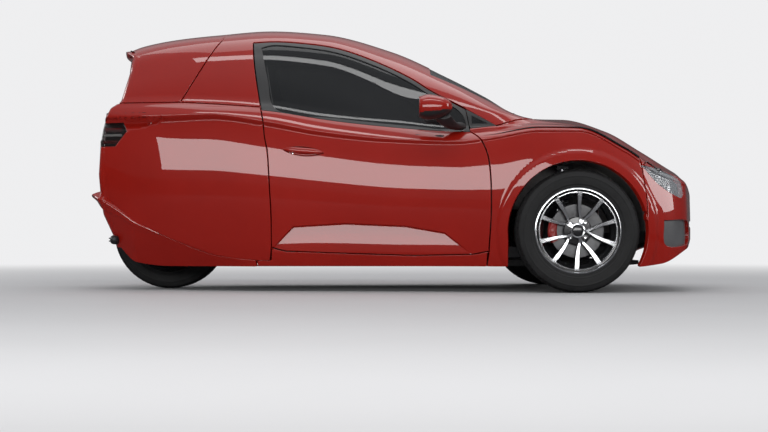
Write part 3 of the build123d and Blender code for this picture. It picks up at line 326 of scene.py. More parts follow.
# ---------------------------------------------------------------------------------------------
# Seams
# ---------------------------------------------------------------------------------------------
def through(points, spacing=9.0):
    """A smooth line through a few points, sampled evenly."""
    pts = np.asarray(points, float)
    if len(pts) == 2:
        count = max(2, int(np.linalg.norm(pts[1] - pts[0]) / spacing) + 1)
        s = np.linspace(0, 1, count)[:, None]
        return pts[0] * (1 - s) + pts[1] * s
    ends = np.vstack([2 * pts[0] - pts[1], pts, 2 * pts[-1] - pts[-2]])
    out = [pts[:1]]
    for i in range(len(pts) - 1):
        p0, p1, p2, p3 = ends[i:i + 4]
        count = max(2, int(np.linalg.norm(p2 - p1) / spacing) + 1)
        s = np.linspace(0, 1, count)[1:, None]
        d01, d12, d23 = (max(np.linalg.norm(b - a), 1e-6) ** 0.5 for a, b in ((p0, p1), (p1, p2), (p2, p3)))
        m1 = d12 * ((p1 - p0) / d01 - (p2 - p0) / (d01 + d12)) + (p2 - p1)
        m2 = d12 * ((p3 - p2) / d23 - (p3 - p1) / (d12 + d23)) + (p2 - p1)
        out.append(p1 * (1 + 2 * s) * (1 - s) ** 2 + m1 * s * (1 - s) ** 2
                   + p2 * s * s * (3 - 2 * s) + m2 * s * s * (s - 1))
    return np.vstack(out)


def shifted(line, amount):
    """A line moved to its left by an amount."""
    line = np.asarray(line, float)
    tangent = np.gradient(line, axis=0)
    tangent /= np.maximum(np.linalg.norm(tangent, axis=1, keepdims=True), 1e-9)
    return line + np.column_stack([-tangent[:, 1], tangent[:, 0]]) * amount


def seam(points, amount, sharp=False, spacing=9.0):
    """Chart points of a side-view seam, moved to its left by the shut gap."""
    line = straight(points, spacing) if sharp else through(points, spacing)
    return [SKIN.from_side(x, z) for x, z in shifted(line, amount)]


def top_line(points, amount=0.0):
    """Chart points of a plan-view seam, moved to its left on the left half."""
    flipped = [(x, -y) for x, y in points]
    return [SKIN.from_top(x, -y) for x, y in shifted(through(flipped), amount)]


def tail_line(points, amount=0.0):
    """Chart points of a seam of the tail face, given as (y, z), moved to its left."""
    return [SKIN.from_tail(y, z) for y, z in shifted(through(points), amount)]


def nose_line(points, amount=0.0):
    """Chart points of a seam of the nose, given as (y, z), moved to its right."""
    return [SKIN.from_nose(y, z) for y, z in shifted(through(points), -amount)]


def straight(points, spacing=9.0):
    """A polyline with sharp corners, sampled evenly."""
    out = [np.asarray(points[0], float)[None]]
    for a, b in zip(points, points[1:]):
        out.append(through([a, b], spacing)[1:])
    return np.vstack(out)


def back(line):
    return list(line)[::-1]


def chart_line(points, spacing=12.0):
    """A straight polyline given in chart coordinates."""
    return [tuple(p) for p in straight(points, spacing)]


# ---------------------------------------------------------------------------------------------
# Panels: a skin, rounded edges and a wall of its own thickness
# ---------------------------------------------------------------------------------------------
def inside_polygon(points, polygon):
    x, y = points[:, 0], points[:, 1]
    result = np.zeros(len(points), bool)
    a = polygon
    b = np.roll(polygon, -1, axis=0)
    for (x0, y0), (x1, y1) in zip(a, b):
        if y0 == y1:
            continue
        crosses = ((y0 > y) != (y1 > y)) & (x < (x1 - x0) * (y - y0) / (y1 - y0) + x0)
        result ^= crosses
    return result


def tidy_loop(loop, smallest=0.6):
    """A closed loop without repeated points."""
    kept = [loop[0]]
    for p in loop[1:]:
        if math.hypot(p[0] - kept[-1][0], p[1] - kept[-1][1]) > smallest:
            kept.append(p)
    while math.hypot(kept[0][0] - kept[-1][0], kept[0][1] - kept[-1][1]) <= smallest:
        kept.pop()
    return np.array(kept)


def fill_chart(loops, grid, creases=()):
    """Triangles that fill an outline with holes, and the loops' own points."""
    loops = [tidy_loop(list(loop)) for loop in loops]
    edges, points = [], []
    for loop in loops:
        start = len(points)
        points.extend(map(tuple, loop))
        edges.extend((start + i, start + (i + 1) % len(loop)) for i in range(len(loop)))
    fixed = np.array(points)
    lo, hi = fixed.min(0), fixed.max(0)
    xs = np.arange(lo[0] + grid / 2, hi[0], grid)
    ys = np.arange(lo[1] + grid / 2, hi[1], grid)
    field = np.array([(x + (grid / 2 if k % 2 else 0), y) for k, y in enumerate(ys) for x in xs])
    extra = np.array([p for line in creases for p in line], float).reshape(-1, 2)
    fixed = np.vstack([fixed, extra[inside_polygon(extra, loops[0])]])
    if len(field):
        keep = inside_polygon(field, loops[0])
        for hole in loops[1:]:
            keep &= ~inside_polygon(field, hole)
        field = field[keep]
        near = np.full(len(field), 1e9)
        for k in range(0, len(fixed), 200):
            near = np.minimum(near, np.linalg.norm(field[:, None] - fixed[None, k:k + 200], axis=2).min(1))
        field = field[near > grid * 0.45]
    every = np.vstack([fixed, field])
    verts, _, faces, *_ = delaunay_2d_cdt([Vector(p) for p in every], edges, [], 0, 1e-6, False)
    verts = np.array([tuple(v) for v in verts])
    faces = np.array([f for f in faces if len(f) == 3])
    centre = verts[faces].mean(1)
    keep = inside_polygon(centre, loops[0])
    for hole in loops[1:]:
        keep &= ~inside_polygon(centre, hole)
    return verts, faces[keep]


def border_edges(faces):
    """The border of a triangle mesh: from each edge's start to its end, in its face's direction."""
    edges = {edge for a, b, c in faces for edge in ((a, b), (b, c), (c, a))}
    return {a: b for a, b in edges if (b, a) not in edges}


def linked(name, data):
    """A new object with a mesh, a light or a camera, in the scene."""
    obj = bpy.data.objects.new(name, data)
    bpy.context.scene.collection.objects.link(obj)
    return obj


def solved_mesh(obj):
    """A new mesh with an object's modifiers applied."""
    return bpy.data.meshes.new_from_object(obj.evaluated_get(bpy.context.evaluated_depsgraph_get()))


class MeshBuild:
    """Vertices, faces and normals gathered before they become one object."""

    def __init__(self):
        self.verts, self.faces, self.normals, self.slots = [], [], [], []

    def add(self, verts, faces, normals, slot=0):
        start = len(self.verts)
        self.verts.extend(map(tuple, verts))
        self.normals.extend(map(tuple, normals))
        self.faces.extend(tuple(int(i) + start for i in f) for f in faces)
        self.slots.extend([slot] * len(faces))

    def mirror(self):
        """The same shape on the other side."""
        other = MeshBuild()
        other.verts = [(x, -y, z) for x, y, z in self.verts]
        other.normals = [(x, -y, z) for x, y, z in self.normals]
        other.faces = [f[::-1] for f in self.faces]
        other.slots = list(self.slots)
        return other

    def join(self, other):
        start = len(self.verts)
        self.verts += other.verts
        self.normals += other.normals
        self.faces += [tuple(i + start for i in f) for f in other.faces]
        self.slots += other.slots
        return self

    def make(self, name, materials):
        mesh = bpy.data.meshes.new(name)
        mesh.from_pydata([(x * MM, y * MM, z * MM) for x, y, z in self.verts], [], self.faces)
        for m in materials:
            mesh.materials.append(m)
        mesh.polygons.foreach_set("material_index", self.slots)
        mesh.polygons.foreach_set("use_smooth", [True] * len(self.faces))
        mesh.normals_split_custom_set_from_vertices(self.normals)
        return linked(name, mesh)


def panel_shell(loops, thickness, grid=14.0, sink=0.0, edge=2.0, creases=(), inner_slot=1):
    """One panel of the left side: skin, rounded rim, wall and inner face."""
    chart, faces = fill_chart(loops, grid, creases)
    u, g = chart[:, 0], chart[:, 1]
    point, normal = skin_points(u, g, sink)
    tri = point[faces]
    facing = np.cross(tri[:, 1] - tri[:, 0], tri[:, 2] - tri[:, 0])
    flip = (facing * normal[faces[:, 0]]).sum(1) < 0
    faces[flip] = faces[flip][:, ::-1]
    build = MeshBuild()
    build.add(point, faces, normal, 0)
    border = border_edges(faces)
    centred = np.abs(point[:, 1]) < 0.7
    real = [a for a in sorted(border) if not (centred[a] and centred[border[a]])]
    previous = {b: a for a, b in border.items()}
    outward = {}
    for a in set(real) | {border[a] for a in real}:
        p, n = previous.get(a, a), border.get(a, a)
        before = point[a] - point[p]
        after = point[n] - point[a]
        side = np.zeros(3)
        if p != a and not (centred[p] and centred[a]):
            side += np.cross(before / max(np.linalg.norm(before), 1e-6), normal[a])
        if n != a and not (centred[a] and centred[n]):
            side += np.cross(after / max(np.linalg.norm(after), 1e-6), normal[a])
        if centred[a]:
            side[1] = 0
        outward[a] = side / max(np.linalg.norm(side), 1e-6)
    ring = sorted(outward)
    place = {a: k for k, a in enumerate(ring)}
    base = point[ring]
    up = normal[ring]
    out = np.array([outward[a] for a in ring])
    steps = (
        (base, up),
        (base + out * edge * 0.7 - up * edge * 0.3, up * 0.7 + out * 0.7),
        (base + out * edge - up * edge, out),
        (base + out * edge - up * thickness, out),
    )
    for (p0, n0), (p1, n1) in zip(steps, steps[1:]):
        count = len(ring)
        strip = [(place[b], place[a], place[a] + count, place[b] + count)
                 for a, b in ((a, border[a]) for a in real)]
        build.add(np.vstack([p0, p1]), strip, np.vstack([n0, n1]), 0)
    inner = point - normal * thickness
    inner[ring] = base + out * edge - up * thickness
    build.add(inner, faces[:, ::-1], -normal, inner_slot)
    return build


def crease_lines(points, *amounts):
    """Chart lines that the triangles follow beside a pressed edge."""
    return [seam(points, amount, spacing=6.0) for amount in amounts]


def across(build):
    """A half panel joined with its mirror image."""
    return build.join(build.mirror())


# ---------------------------------------------------------------------------------------------
# Materials
# ---------------------------------------------------------------------------------------------
def add_node(tree, kind, **values):
    """A new node with some inputs set; an underscore in a name stands for a space."""
    node = tree.nodes.new(kind)
    for label, value in values.items():
        node.inputs[label.replace("_", " ")].default_value = value
    return node


def material(name, colour, rough, metal=0.0, vary=0.04, rough_vary=0.06, scale=30.0, bump=0.0,
             bump_scale=400.0, coat=0.0, coat_rough=0.03, specular=0.5):
    """A procedural surface: colour and roughness that drift, and a fine bump."""
    m = bpy.data.materials.new(name)
    m.use_nodes = True
    tree, links = m.node_tree, m.node_tree.links
    shader = tree.nodes["Principled BSDF"]
    where = add_node(tree, "ShaderNodeTexCoord")
    noise = add_node(tree, "ShaderNodeTexNoise", Scale=scale, Detail=4.0)
    links.new(where.outputs["Object"], noise.inputs["Vector"])
    tint = add_node(tree, "ShaderNodeValToRGB")
    dark = [c * (1 - vary) for c in colour]
    light = [min(1.0, c * (1 + vary)) for c in colour]
    tint.color_ramp.elements[0].position, tint.color_ramp.elements[1].position = 0.3, 0.7
    tint.color_ramp.elements[0].color = (*dark, 1)
    tint.color_ramp.elements[1].color = (*light, 1)
    links.new(noise.outputs["Fac"], tint.inputs["Fac"])
    links.new(tint.outputs["Color"], shader.inputs["Base Color"])
    spread = add_node(tree, "ShaderNodeMapRange", To_Min=max(0.01, rough - rough_vary / 2),
                      To_Max=min(1.0, rough + rough_vary / 2))
    links.new(noise.outputs["Fac"], spread.inputs["Value"])
    links.new(spread.outputs["Result"], shader.inputs["Roughness"])
    for label, value in (("Metallic", metal), ("Specular IOR Level", specular), ("Coat Weight", coat),
                         ("Coat Roughness", coat_rough)):
        shader.inputs[label].default_value = value
    if bump:
        grain = add_node(tree, "ShaderNodeTexNoise", Scale=bump_scale, Detail=6.0)
        links.new(where.outputs["Object"], grain.inputs["Vector"])
        relief = add_node(tree, "ShaderNodeBump", Strength=bump, Distance=0.001)
        links.new(grain.outputs["Fac"], relief.inputs["Height"])
        links.new(relief.outputs["Normal"], shader.inputs["Normal"])
    return m


def clear_material(name, colour, rough, alpha):
    """A tinted sheet that is seen through, darker at a shallow angle."""
    m = material(name, colour, rough, vary=0.03, rough_vary=0.02, scale=6.0)
    tree, links = m.node_tree, m.node_tree.links
    edge = add_node(tree, "ShaderNodeLayerWeight", Blend=0.35)
    amount = add_node(tree, "ShaderNodeMapRange", To_Min=alpha, To_Max=min(1.0, alpha + 0.3))
    links.new(edge.outputs["Fresnel"], amount.inputs["Value"])
    links.new(amount.outputs["Result"], tree.nodes["Principled BSDF"].inputs["Alpha"])
    return m


PAINT = material("red_paint", (0.255, 0.008, 0.004), 0.34, vary=0.05, rough_vary=0.04, scale=3.0,
                 coat=1.0, coat_rough=0.012, specular=0.06)
INNER_TRIM = material("inner_trim", (0.022, 0.022, 0.024), 0.62, bump=0.25, bump_scale=900)
BLACK_GLOSS = material("black_gloss", (0.006, 0.006, 0.007), 0.12, vary=0.1, scale=8, coat=0.6)
BLACK_SATIN = material("black_satin", (0.014, 0.014, 0.015), 0.42, vary=0.12, scale=12, bump=0.15,
                       bump_scale=1200)
TINTED_GLASS = clear_material("tinted_glass", (0.008, 0.009, 0.010), 0.02, 0.80)
SCREEN_GLASS = clear_material("screen_glass", (0.02, 0.022, 0.024), 0.02, 0.55)
LAMP_GLASS = clear_material("lamp_glass", (0.5, 0.52, 0.55), 0.02, 0.10)
SMOKED_LENS = clear_material("smoked_lens", (0.02, 0.018, 0.018), 0.03, 0.35)
SMOKED = material("smoked_grey", (0.085, 0.086, 0.09), 0.32, vary=0.15, scale=14, bump=0.1, coat=0.3)
RED_LENS = clear_material("red_lens", (0.28, 0.004, 0.004), 0.06, 0.8)
CHROME = material("chrome", (0.83, 0.84, 0.86), 0.07, metal=1.0, vary=0.02, scale=10)
MACHINED = material("machined_alloy", (0.78, 0.79, 0.81), 0.16, metal=1.0, vary=0.05, scale=60,
                    bump=0.08, bump_scale=900)
WHEEL_BLACK = material("wheel_black", (0.010, 0.010, 0.011), 0.22, vary=0.15, scale=20, coat=0.7)
RUBBER = material("tyre_rubber", (0.012, 0.012, 0.0125), 0.72, vary=0.2, rough_vary=0.12, scale=25,
                  bump=0.35, bump_scale=700, specular=0.3)
UNDERBODY = material("underbody", (0.018, 0.018, 0.019), 0.75, vary=0.2, bump=0.5, bump_scale=300)
STEEL = material("chassis_steel", (0.045, 0.046, 0.05), 0.45, metal=0.4, vary=0.15, bump=0.2)
DAMPER = material("damper_steel", (0.32, 0.32, 0.34), 0.3, metal=0.9, vary=0.1)
IRON = material("disc_iron", (0.11, 0.11, 0.113), 0.38, metal=0.9, vary=0.12, scale=70, bump=0.1)
CALIPER = material("caliper_red", (0.28, 0.009, 0.007), 0.32, vary=0.08, scale=30, bump=0.1, coat=0.4)
CABIN = material("cabin_plastic", (0.020, 0.020, 0.022), 0.6, vary=0.12, bump=0.35, bump_scale=800)
CASE = material("battery_case", (0.14, 0.145, 0.15), 0.4, metal=0.6, vary=0.1, scale=15, bump=0.1)
MOTOR = material("motor_case", (0.35, 0.35, 0.36), 0.38, metal=0.9, vary=0.12, scale=25, bump=0.2)
CLOTH = material("seat_cloth", (0.035, 0.035, 0.038), 0.85, vary=0.25, scale=180, bump=0.6,
                 bump_scale=1500, specular=0.2)
LINER_FELT = material("liner_felt", (0.17, 0.165, 0.16), 0.9, vary=0.12, scale=60, bump=0.6,
                      bump_scale=900)
MIRROR_GLASS = material("mirror_glass", (0.72, 0.74, 0.76), 0.02, metal=1.0, vary=0.01)
GLOW = material("light_guide", (0.9, 0.9, 0.88), 0.3, vary=0.02, coat=0.5)
PLATE = material("plate_white", (0.62, 0.62, 0.60), 0.35, vary=0.03, scale=14, bump=0.05)
SPRING = material("spring_steel", (0.30, 0.31, 0.32), 0.4, metal=0.5, vary=0.1, bump=0.1)
SCREEN_FACE = material("display_face", (0.008, 0.009, 0.012), 0.08, vary=0.1, coat=0.8)


# ---------------------------------------------------------------------------------------------
# Seams of the panels, all as side view (x, z) unless said
# ---------------------------------------------------------------------------------------------
INSET = 4.4
DOOR_REAR = ((-590, 213), (-590, 377), (-597, 500), (-609, 685), (-623, 753), (-631, 834),
             (-646, 903), (-679, 1096), (-694, 1234))
DOOR_TOP = ((-694, 1234), (-600, 1240), (-488, 1236), (-270, 1205), (-52, 1126), (93, 1050),
            (186, 986), (352, 889))
DOOR_FRONT = ((372, 776), (419, 731), (453, 650), (468, 440), (458, 196))
DOOR_FOOT = ((-590, 213), (-520, 196), (-191, 184), (102, 175), (381, 181), (458, 196))
WINDOW = ((-650, 1206), (-614, 1040), (-573, 892), (-266, 842), (126, 801), (350, 784),
          (332, 868), (176, 967), (86, 1029), (-58, 1104), (-276, 1182), (-488, 1214), (-600, 1220))
WAIST = ((-642, 884), (-573, 876), (-266, 827), (126, 786), (372, 772))
BELT_SEAM = ((-1045, 929), (-862, 917), (-644, 900))
HATCH_SEAM = ((-1045, 929), (-858, 1246), (-816, 1317))
SKIRT_SEAM = ((-1478, 497), (-1278, 342), (-1098, 260), (-876, 178), (-664, 151), (-600, 150))
QUARTER_CORNER = (500, 803)
SCREEN_CORNER = (690, 844)
LAMP_SEAM = ((1183, 606), (1285, 592), (1385, 550), (1408, 500), (1400, 455), (1345, 470),
             (1262, 522))
INTAKE_SEAM = ((1292, 345), (1440, 338), (1452, 244), (1300, 225))
TAIL_LAMP_HALF = 285.0
HATCH_HALF, HATCH_FOOT_Z = 255.0, 545.0
WELL_HALF = 150.0

MIDDLE_G = float(SKIN.g[-1])


def side_loop(points, amount=0.0, sharp=False):
    """A closed side-view outline in the chart, moved inwards."""
    ring = list(points) + [points[0]]
    line = straight(ring) if sharp else through(ring)
    area = np.sum(line[:-1, 0] * line[1:, 1] - line[1:, 0] * line[:-1, 1])
    moved = shifted(line, amount if area > 0 else -amount)[:-1]
    return [SKIN.from_side(x, z) for x, z in moved]


def arch_line(radius, start, stop):
    """The edge of the front arch, from behind the wheel over it to the front."""
    turn = np.linspace(math.radians(start), math.radians(stop), 70)
    return [SKIN.from_side(FRONT_AXLE_X + radius * math.cos(a), AXLE_Z + radius * math.sin(a))
            for a in turn]


def centre_top(x0, x1):
    """Chart points along the car's middle over the top."""
    return chart_line([(x0, MIDDLE_G), (x1, MIDDLE_G)])


def to_middle(x, y):
    """Chart points over the top, from beside a plan-view point to the car's middle."""
    return chart_line([SKIN.from_top(x, y), (x, MIDDLE_G)])[1:]


def from_middle(x, y):
    """Chart points over the top, from beside the car's middle to a plan-view point."""
    return chart_line([(x, MIDDLE_G), SKIN.from_top(x, y)])[1:]


def tail_row(z, start, stop):
    """Chart points every 8 mm across the tail face at a height, from one y to before another."""
    return [SKIN.from_tail(y, z) for y in range(start, stop, 8 if stop > start else -8)]


def own(obj, body, slot, *nodes):
    """Puts a piece on its body and hides the nodes that it stands for; its slot is not used."""
    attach(obj, body)
    if nodes:
        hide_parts(*nodes)
    return obj


BONNET_SIDE = ((712, 470), (800, 463), (1080, 398), (1250, 348), (1340, 300), (1376, 240))
SCREEN_SIDE = ((190, 345), (684, 452))


def pair(left, name, materials, slot, node=None, angle=()):
    """A piece of the left door and its mirror image on the right door."""
    for build, side in ((left, "left"), (left.mirror(), "right")):
        stands_for = [node + "_" + side] if node else []
        own(build.make(name + "_" + side, materials, *angle), side + "_door", slot, *stands_for)


def whole(half, name, materials, body, slot, *nodes):
    """A left half joined with its mirror image as one object."""
    return own(across(half).make(name, materials), body, slot, *nodes)


def thin(loops, thickness, grid, sink):
    """A panel of one finish with a fine edge, such as a pane or the bed of a lamp."""
    return panel_shell(loops, thickness, grid, sink=sink, edge=0.5, inner_slot=0)


def both(shapes, name, materials, angle, slot, *nodes):
    """Loose shapes and their mirror image as one object on the body."""
    return own(shapes.with_mirror().make(name, materials, angle), "body", slot, *nodes)


HANDLE_X, HANDLE_Z, HANDLE_LEAN = -432.0, 678.0, -0.085
HANDLE_HALF, CUP_HALF_HEIGHT, CUP_DEPTH = 100.0, 23.0, 20.0


def lens_outline(half, high, count=44):
    """A pointed oval round the handle, as side-view points."""
    across_it = [-half + 2 * half * k / count for k in range(count)]
    upper = [(x, high * (1 - abs(x / half) ** 2.0) ** 0.8) for x in across_it]
    lower = [(-x, -z) for x, z in upper]
    return [(HANDLE_X + x, HANDLE_Z + z + HANDLE_LEAN * x) for x, z in lower + upper]


# ---------------------------------------------------------------------------------------------
# Doors: painted skin below the waist, black frame and tinted glass above it
# ---------------------------------------------------------------------------------------------
PAINTED = (PAINT, INNER_TRIM)
SCALLOP_EDGES = [[(x, z - drop) for x, z in SCALLOP_TOP[k:k + 2]] for drop in (-1.0, 4.0, 9.0)
                 for k in range(len(SCALLOP_TOP) - 1)]
door_rear_low = DOOR_REAR[:6] + ((-641, 884),)
door_rear_high = ((-641, 884),) + DOOR_REAR[6:]
door_low = panel_shell([
    seam(DOOR_FOOT, INSET, sharp=True) + back(seam(DOOR_FRONT, -INSET))
    + back(seam(WAIST, -2.4)) + back(seam(door_rear_low, -INSET)),
    [SKIN.from_side(x, z) for x, z in lens_outline(HANDLE_HALF + 1.5, CUP_HALF_HEIGHT + 1.5)]],
    26, 10, edge=1.5, creases=[seam(run, 0, spacing=6.0) for run in SCALLOP_EDGES])
pair(door_low, "door_skin", PAINTED, "body_paint", "door")
door_frame = panel_shell([
    seam(WAIST, 2.4) + [SKIN.from_side(368, 800), SKIN.from_side(353, 884)]
    + back(seam(DOOR_TOP, -INSET)) + back(seam(door_rear_high, -INSET)),
    side_loop(WINDOW, -1.0)], 20, 9, sink=1.0, edge=1.5)
pair(door_frame, "door_frame", (BLACK_SATIN, INNER_TRIM), "body_paint", "door")
door_pane = thin([side_loop(WINDOW, -9.0)], 4, 16, 6.0)
pair(door_pane, "door_glass_pane", (TINTED_GLASS,), "tinted_glass", "door_glass")

# ---------------------------------------------------------------------------------------------
# Roof, pillars and glass
# ---------------------------------------------------------------------------------------------
roof = panel_shell([
    seam(BELT_SEAM, INSET) + seam(DOOR_REAR[6:], INSET) + seam(DOOR_TOP[:-1] + ((350, 893),), INSET)
    + seam(((356, 890), (498, 807)), 1.0)
    + seam((QUARTER_CORNER, (600, 832), SCREEN_CORNER), INSET, sharp=True)
    + back(top_line(SCREEN_SIDE, 3.0)) + to_middle(190, 345)
    + centre_top(190, -813) + back(seam(HATCH_SEAM[:2], -INSET))], 26, 12)
whole(roof, "roof_and_pillars", PAINTED, "body", "body_paint", "roof_panel", "side_frames")
screen_outline = (top_line(SCREEN_SIDE, -3.0) + to_middle(683, 449) + centre_top(683, 193)
                  + from_middle(193, 342))
screen_pane = thin([screen_outline], 5, 16, 3.0)
whole(screen_pane, "windscreen_pane", (SCREEN_GLASS,), "body", "tinted_glass", "windscreen")
quarter_pane = thin([side_loop(((380, 862), (380, 812), (478, 810)), 2.0, sharp=True)], 4, 10, 4.0)
quarter_trim = panel_shell([
    seam(((378, 793), QUARTER_CORNER), 1.0) + back(seam(((358, 886), (498, 806)), -1.5))
    + [SKIN.from_side(358, 884), SKIN.from_side(374, 802)],
    side_loop(((382, 856), (382, 814), (466, 812)), 0.0, sharp=True)], 18, 9, edge=1.5)
whole(quarter_trim, "quarter_light_trim", (BLACK_SATIN, INNER_TRIM), "body", "black_trim",
      "quarter_lights")
whole(quarter_pane, "quarter_light_panes", (TINTED_GLASS,), "body", "tinted_glass",
      "quarter_lights")

# ---------------------------------------------------------------------------------------------
# Front wings, bonnet, cowl and bumper
# ---------------------------------------------------------------------------------------------
arch_foot = FRONT_AXLE_X - math.sqrt(ARCH_RADIUS ** 2 - (AXLE_Z - 260) ** 2)
wing = panel_shell([
    seam(((453, 124), (arch_foot, 124)), 1.0) + seam(((arch_foot, 126), (arch_foot, 250)), -1.0)
    + arch_line(ARCH_RADIUS, 180, 9) + seam(((1206, 345), (1203, 450), (1186, 596)), INSET)
    + seam(((1184, 603), (1180, 640)), INSET)
    + back(top_line(BONNET_SIDE[:3] + ((1186, 368),), INSET))
    + back(seam((QUARTER_CORNER, (600, 832), SCREEN_CORNER), -INSET, sharp=True))
    + back(seam(((376, 790), QUARTER_CORNER), -1.0)) + seam(DOOR_FRONT, INSET)], 26, 10)
whole(wing, "front_wing_skins", PAINTED, "body", "body_paint", "front_wings")
bonnet_front = ((1376, 240), (1386, 120), (1389, 0))
bonnet = panel_shell([
    top_line(BONNET_SIDE[:-1], -INSET) + top_line(bonnet_front, -INSET)
    + centre_top(1384, 716) + from_middle(716, 464)], 22, 12)
whole(bonnet, "bonnet_skin", PAINTED, "bonnet_lid", "body_paint", "bonnet")
cowl = panel_shell([
    chart_line([SKIN.from_top(687, 455), SKIN.from_top(709, 462)]) + to_middle(709, 462)
    + centre_top(709, 687) + from_middle(687, 455)], 16, 8, sink=4.0, edge=1.0)
whole(cowl, "cowl_cover", (BLACK_SATIN, INNER_TRIM), "body", "body_paint", "cowl_panel")
NOSE_END = NOSE_START + NOSE_SPAN
GRILLE_U, GRILLE_G = 1478.0, (SKIN.from_nose(50, 296)[1], SKIN.from_nose(50, 345)[1])
bumper = panel_shell([
    [SKIN.from_side(1168, 124)]
    + chart_line([(1170, 1.0), (NOSE_START, 1.0), (NOSE_END, 1.0)])
    + chart_line([(NOSE_END, 1.0), (NOSE_END, GRILLE_G[0]), (GRILLE_U, GRILLE_G[0]),
                  (GRILLE_U, GRILLE_G[1]), (NOSE_END, GRILLE_G[1]), (NOSE_END, MIDDLE_G),
                  (1394, MIDDLE_G)])[1:]
    + back(top_line(bonnet_front, INSET))[1:] + back(top_line(((1190, 367),) + BONNET_SIDE[3:-1], INSET))
    + back(seam(((1206, 345), (1203, 450), (1186, 596), (1184, 640)), -INSET))
    + arch_line(ARCH_RADIUS, 8.5, -29),
    side_loop(LAMP_SEAM, -1.5), side_loop(INTAKE_SEAM, -1.0)], 26, 10)
whole(bumper, "front_bumper_skin", PAINTED, "body", "body_paint", "front_bumper")

# ---------------------------------------------------------------------------------------------
# Tail: quarters, tailgate, skirt and sills
# ---------------------------------------------------------------------------------------------
FACE = SKIN.face_end


def tail_lamp_outline(inset, foot):
    """The tail lamp round the corner, moved in by an inset and at its foot by another."""
    low, high = 711 + foot, 834 - inset
    inner, outer = TAIL_LAMP_HALF + inset, TAIL_LAMP_HALF + 60
    side = ((-1470, low), (-1372 - foot, low), (-1310 - inset, 788), (-1334 - inset, high), (-1440, high))
    return (seam(side, 0, sharp=True)
            + tail_line(((outer, high), (inner, high), (inner, low), (outer, low))))


quarter = panel_shell([
    seam(SKIRT_SEAM, INSET * 0.6) + seam(((-596, 152), (-590, 213)) + DOOR_REAR[1:7], INSET)
    + back(seam(BELT_SEAM, -INSET)) + back(seam(((-1440, 930), (-1045, 929)), -INSET))
    + tail_line(((330, 929), (262, 929)), -INSET)
    + [SKIN.from_tail(260, z) for z in range(920, 541, -10)]
    + tail_row(540, 256, -1) + tail_row(500, 0, 366),
    tail_lamp_outline(0, 0)], 26, 11,
    creases=crease_lines(FACET_FOOT, 0) + crease_lines(((-1470, 847), (-1110, 847)), -1, 4))
whole(quarter, "rear_quarter_skins", PAINTED, "body", "body_paint", "rear_quarters")
hatch = panel_shell([
    seam(((-1440, 930), (-1045, 929)), INSET) + seam(HATCH_SEAM[:2], INSET)
    + centre_top(-821, -1380)
    + [(u, MIDDLE_G) for u in np.linspace(-1385, SKIN.u[0], 30)]
    + [(SKIN.u[0], g) for g in np.linspace(MIDDLE_G, SKIN.from_tail(0, 1152)[1], 20)]
    + tail_row(1150, 0, 236)
    + [SKIN.from_tail(235 + (1150 - z) * 65 / 190, z) for z in range(1142, 960, -8)]
    + tail_row(960, 298, -1)
    + [(SKIN.u[0], g) for g in np.linspace(SKIN.from_tail(0, 958)[1], SKIN.from_tail(0, 550)[1], 30)]
    + tail_row(550, 0, 252) + [SKIN.from_tail(251, z) for z in range(550, 926, 8)]
    + tail_row(934, 256, 380)], 26, 12)
whole(hatch, "tailgate_skin", PAINTED, "tailgate_lid", "body_paint", "tailgate")
rear_glass = thin([
    tail_row(956, 0, 300)
    + [SKIN.from_tail(302 - (z - 956) * 65 / 198, z) for z in range(956, 1154, 8)]
    + tail_row(1154, 236, -1)], 4, 14, 4.0)
whole(rear_glass, "rear_glass_pane", (TINTED_GLASS,), "tailgate_lid", "tinted_glass",
      "tailgate_glass")
skirt = panel_shell([
    [(u, 1.0) for u in np.linspace(SKIN.from_tail(WELL_HALF + 5, 400)[0], FACE, 20)]
    + [(u, 1.0) for u in np.linspace(FACE, SKIN.from_side(-662, 124)[0], 80)]
    + seam(((-662, 124), (-662, 150)), INSET) + back(seam(SKIRT_SEAM[:-1], -INSET * 0.6))
    + tail_row(494, 366, -1) + tail_row(424, 0, 156)
    + [SKIN.from_tail(WELL_HALF + 5, z) for z in range(420, 262, -8)]], 20, 11)
whole(skirt, "rear_skirt_skin", PAINTED, "body", "body_paint", "rear_skirt")
sill = panel_shell([
    seam(((-656, 124), (449, 124)), 1.0) + seam(((449, 126), (452, 188)), INSET)
    + back(seam(DOOR_FOOT, -INSET, sharp=True)) + back(seam(((-592, 152), (-590, 208)), -INSET))
    + seam(((-600, 148), (-658, 148)), 1.0)], 20, 10)
whole(sill, "sill_skins", PAINTED, "body", "body_paint", "sills")

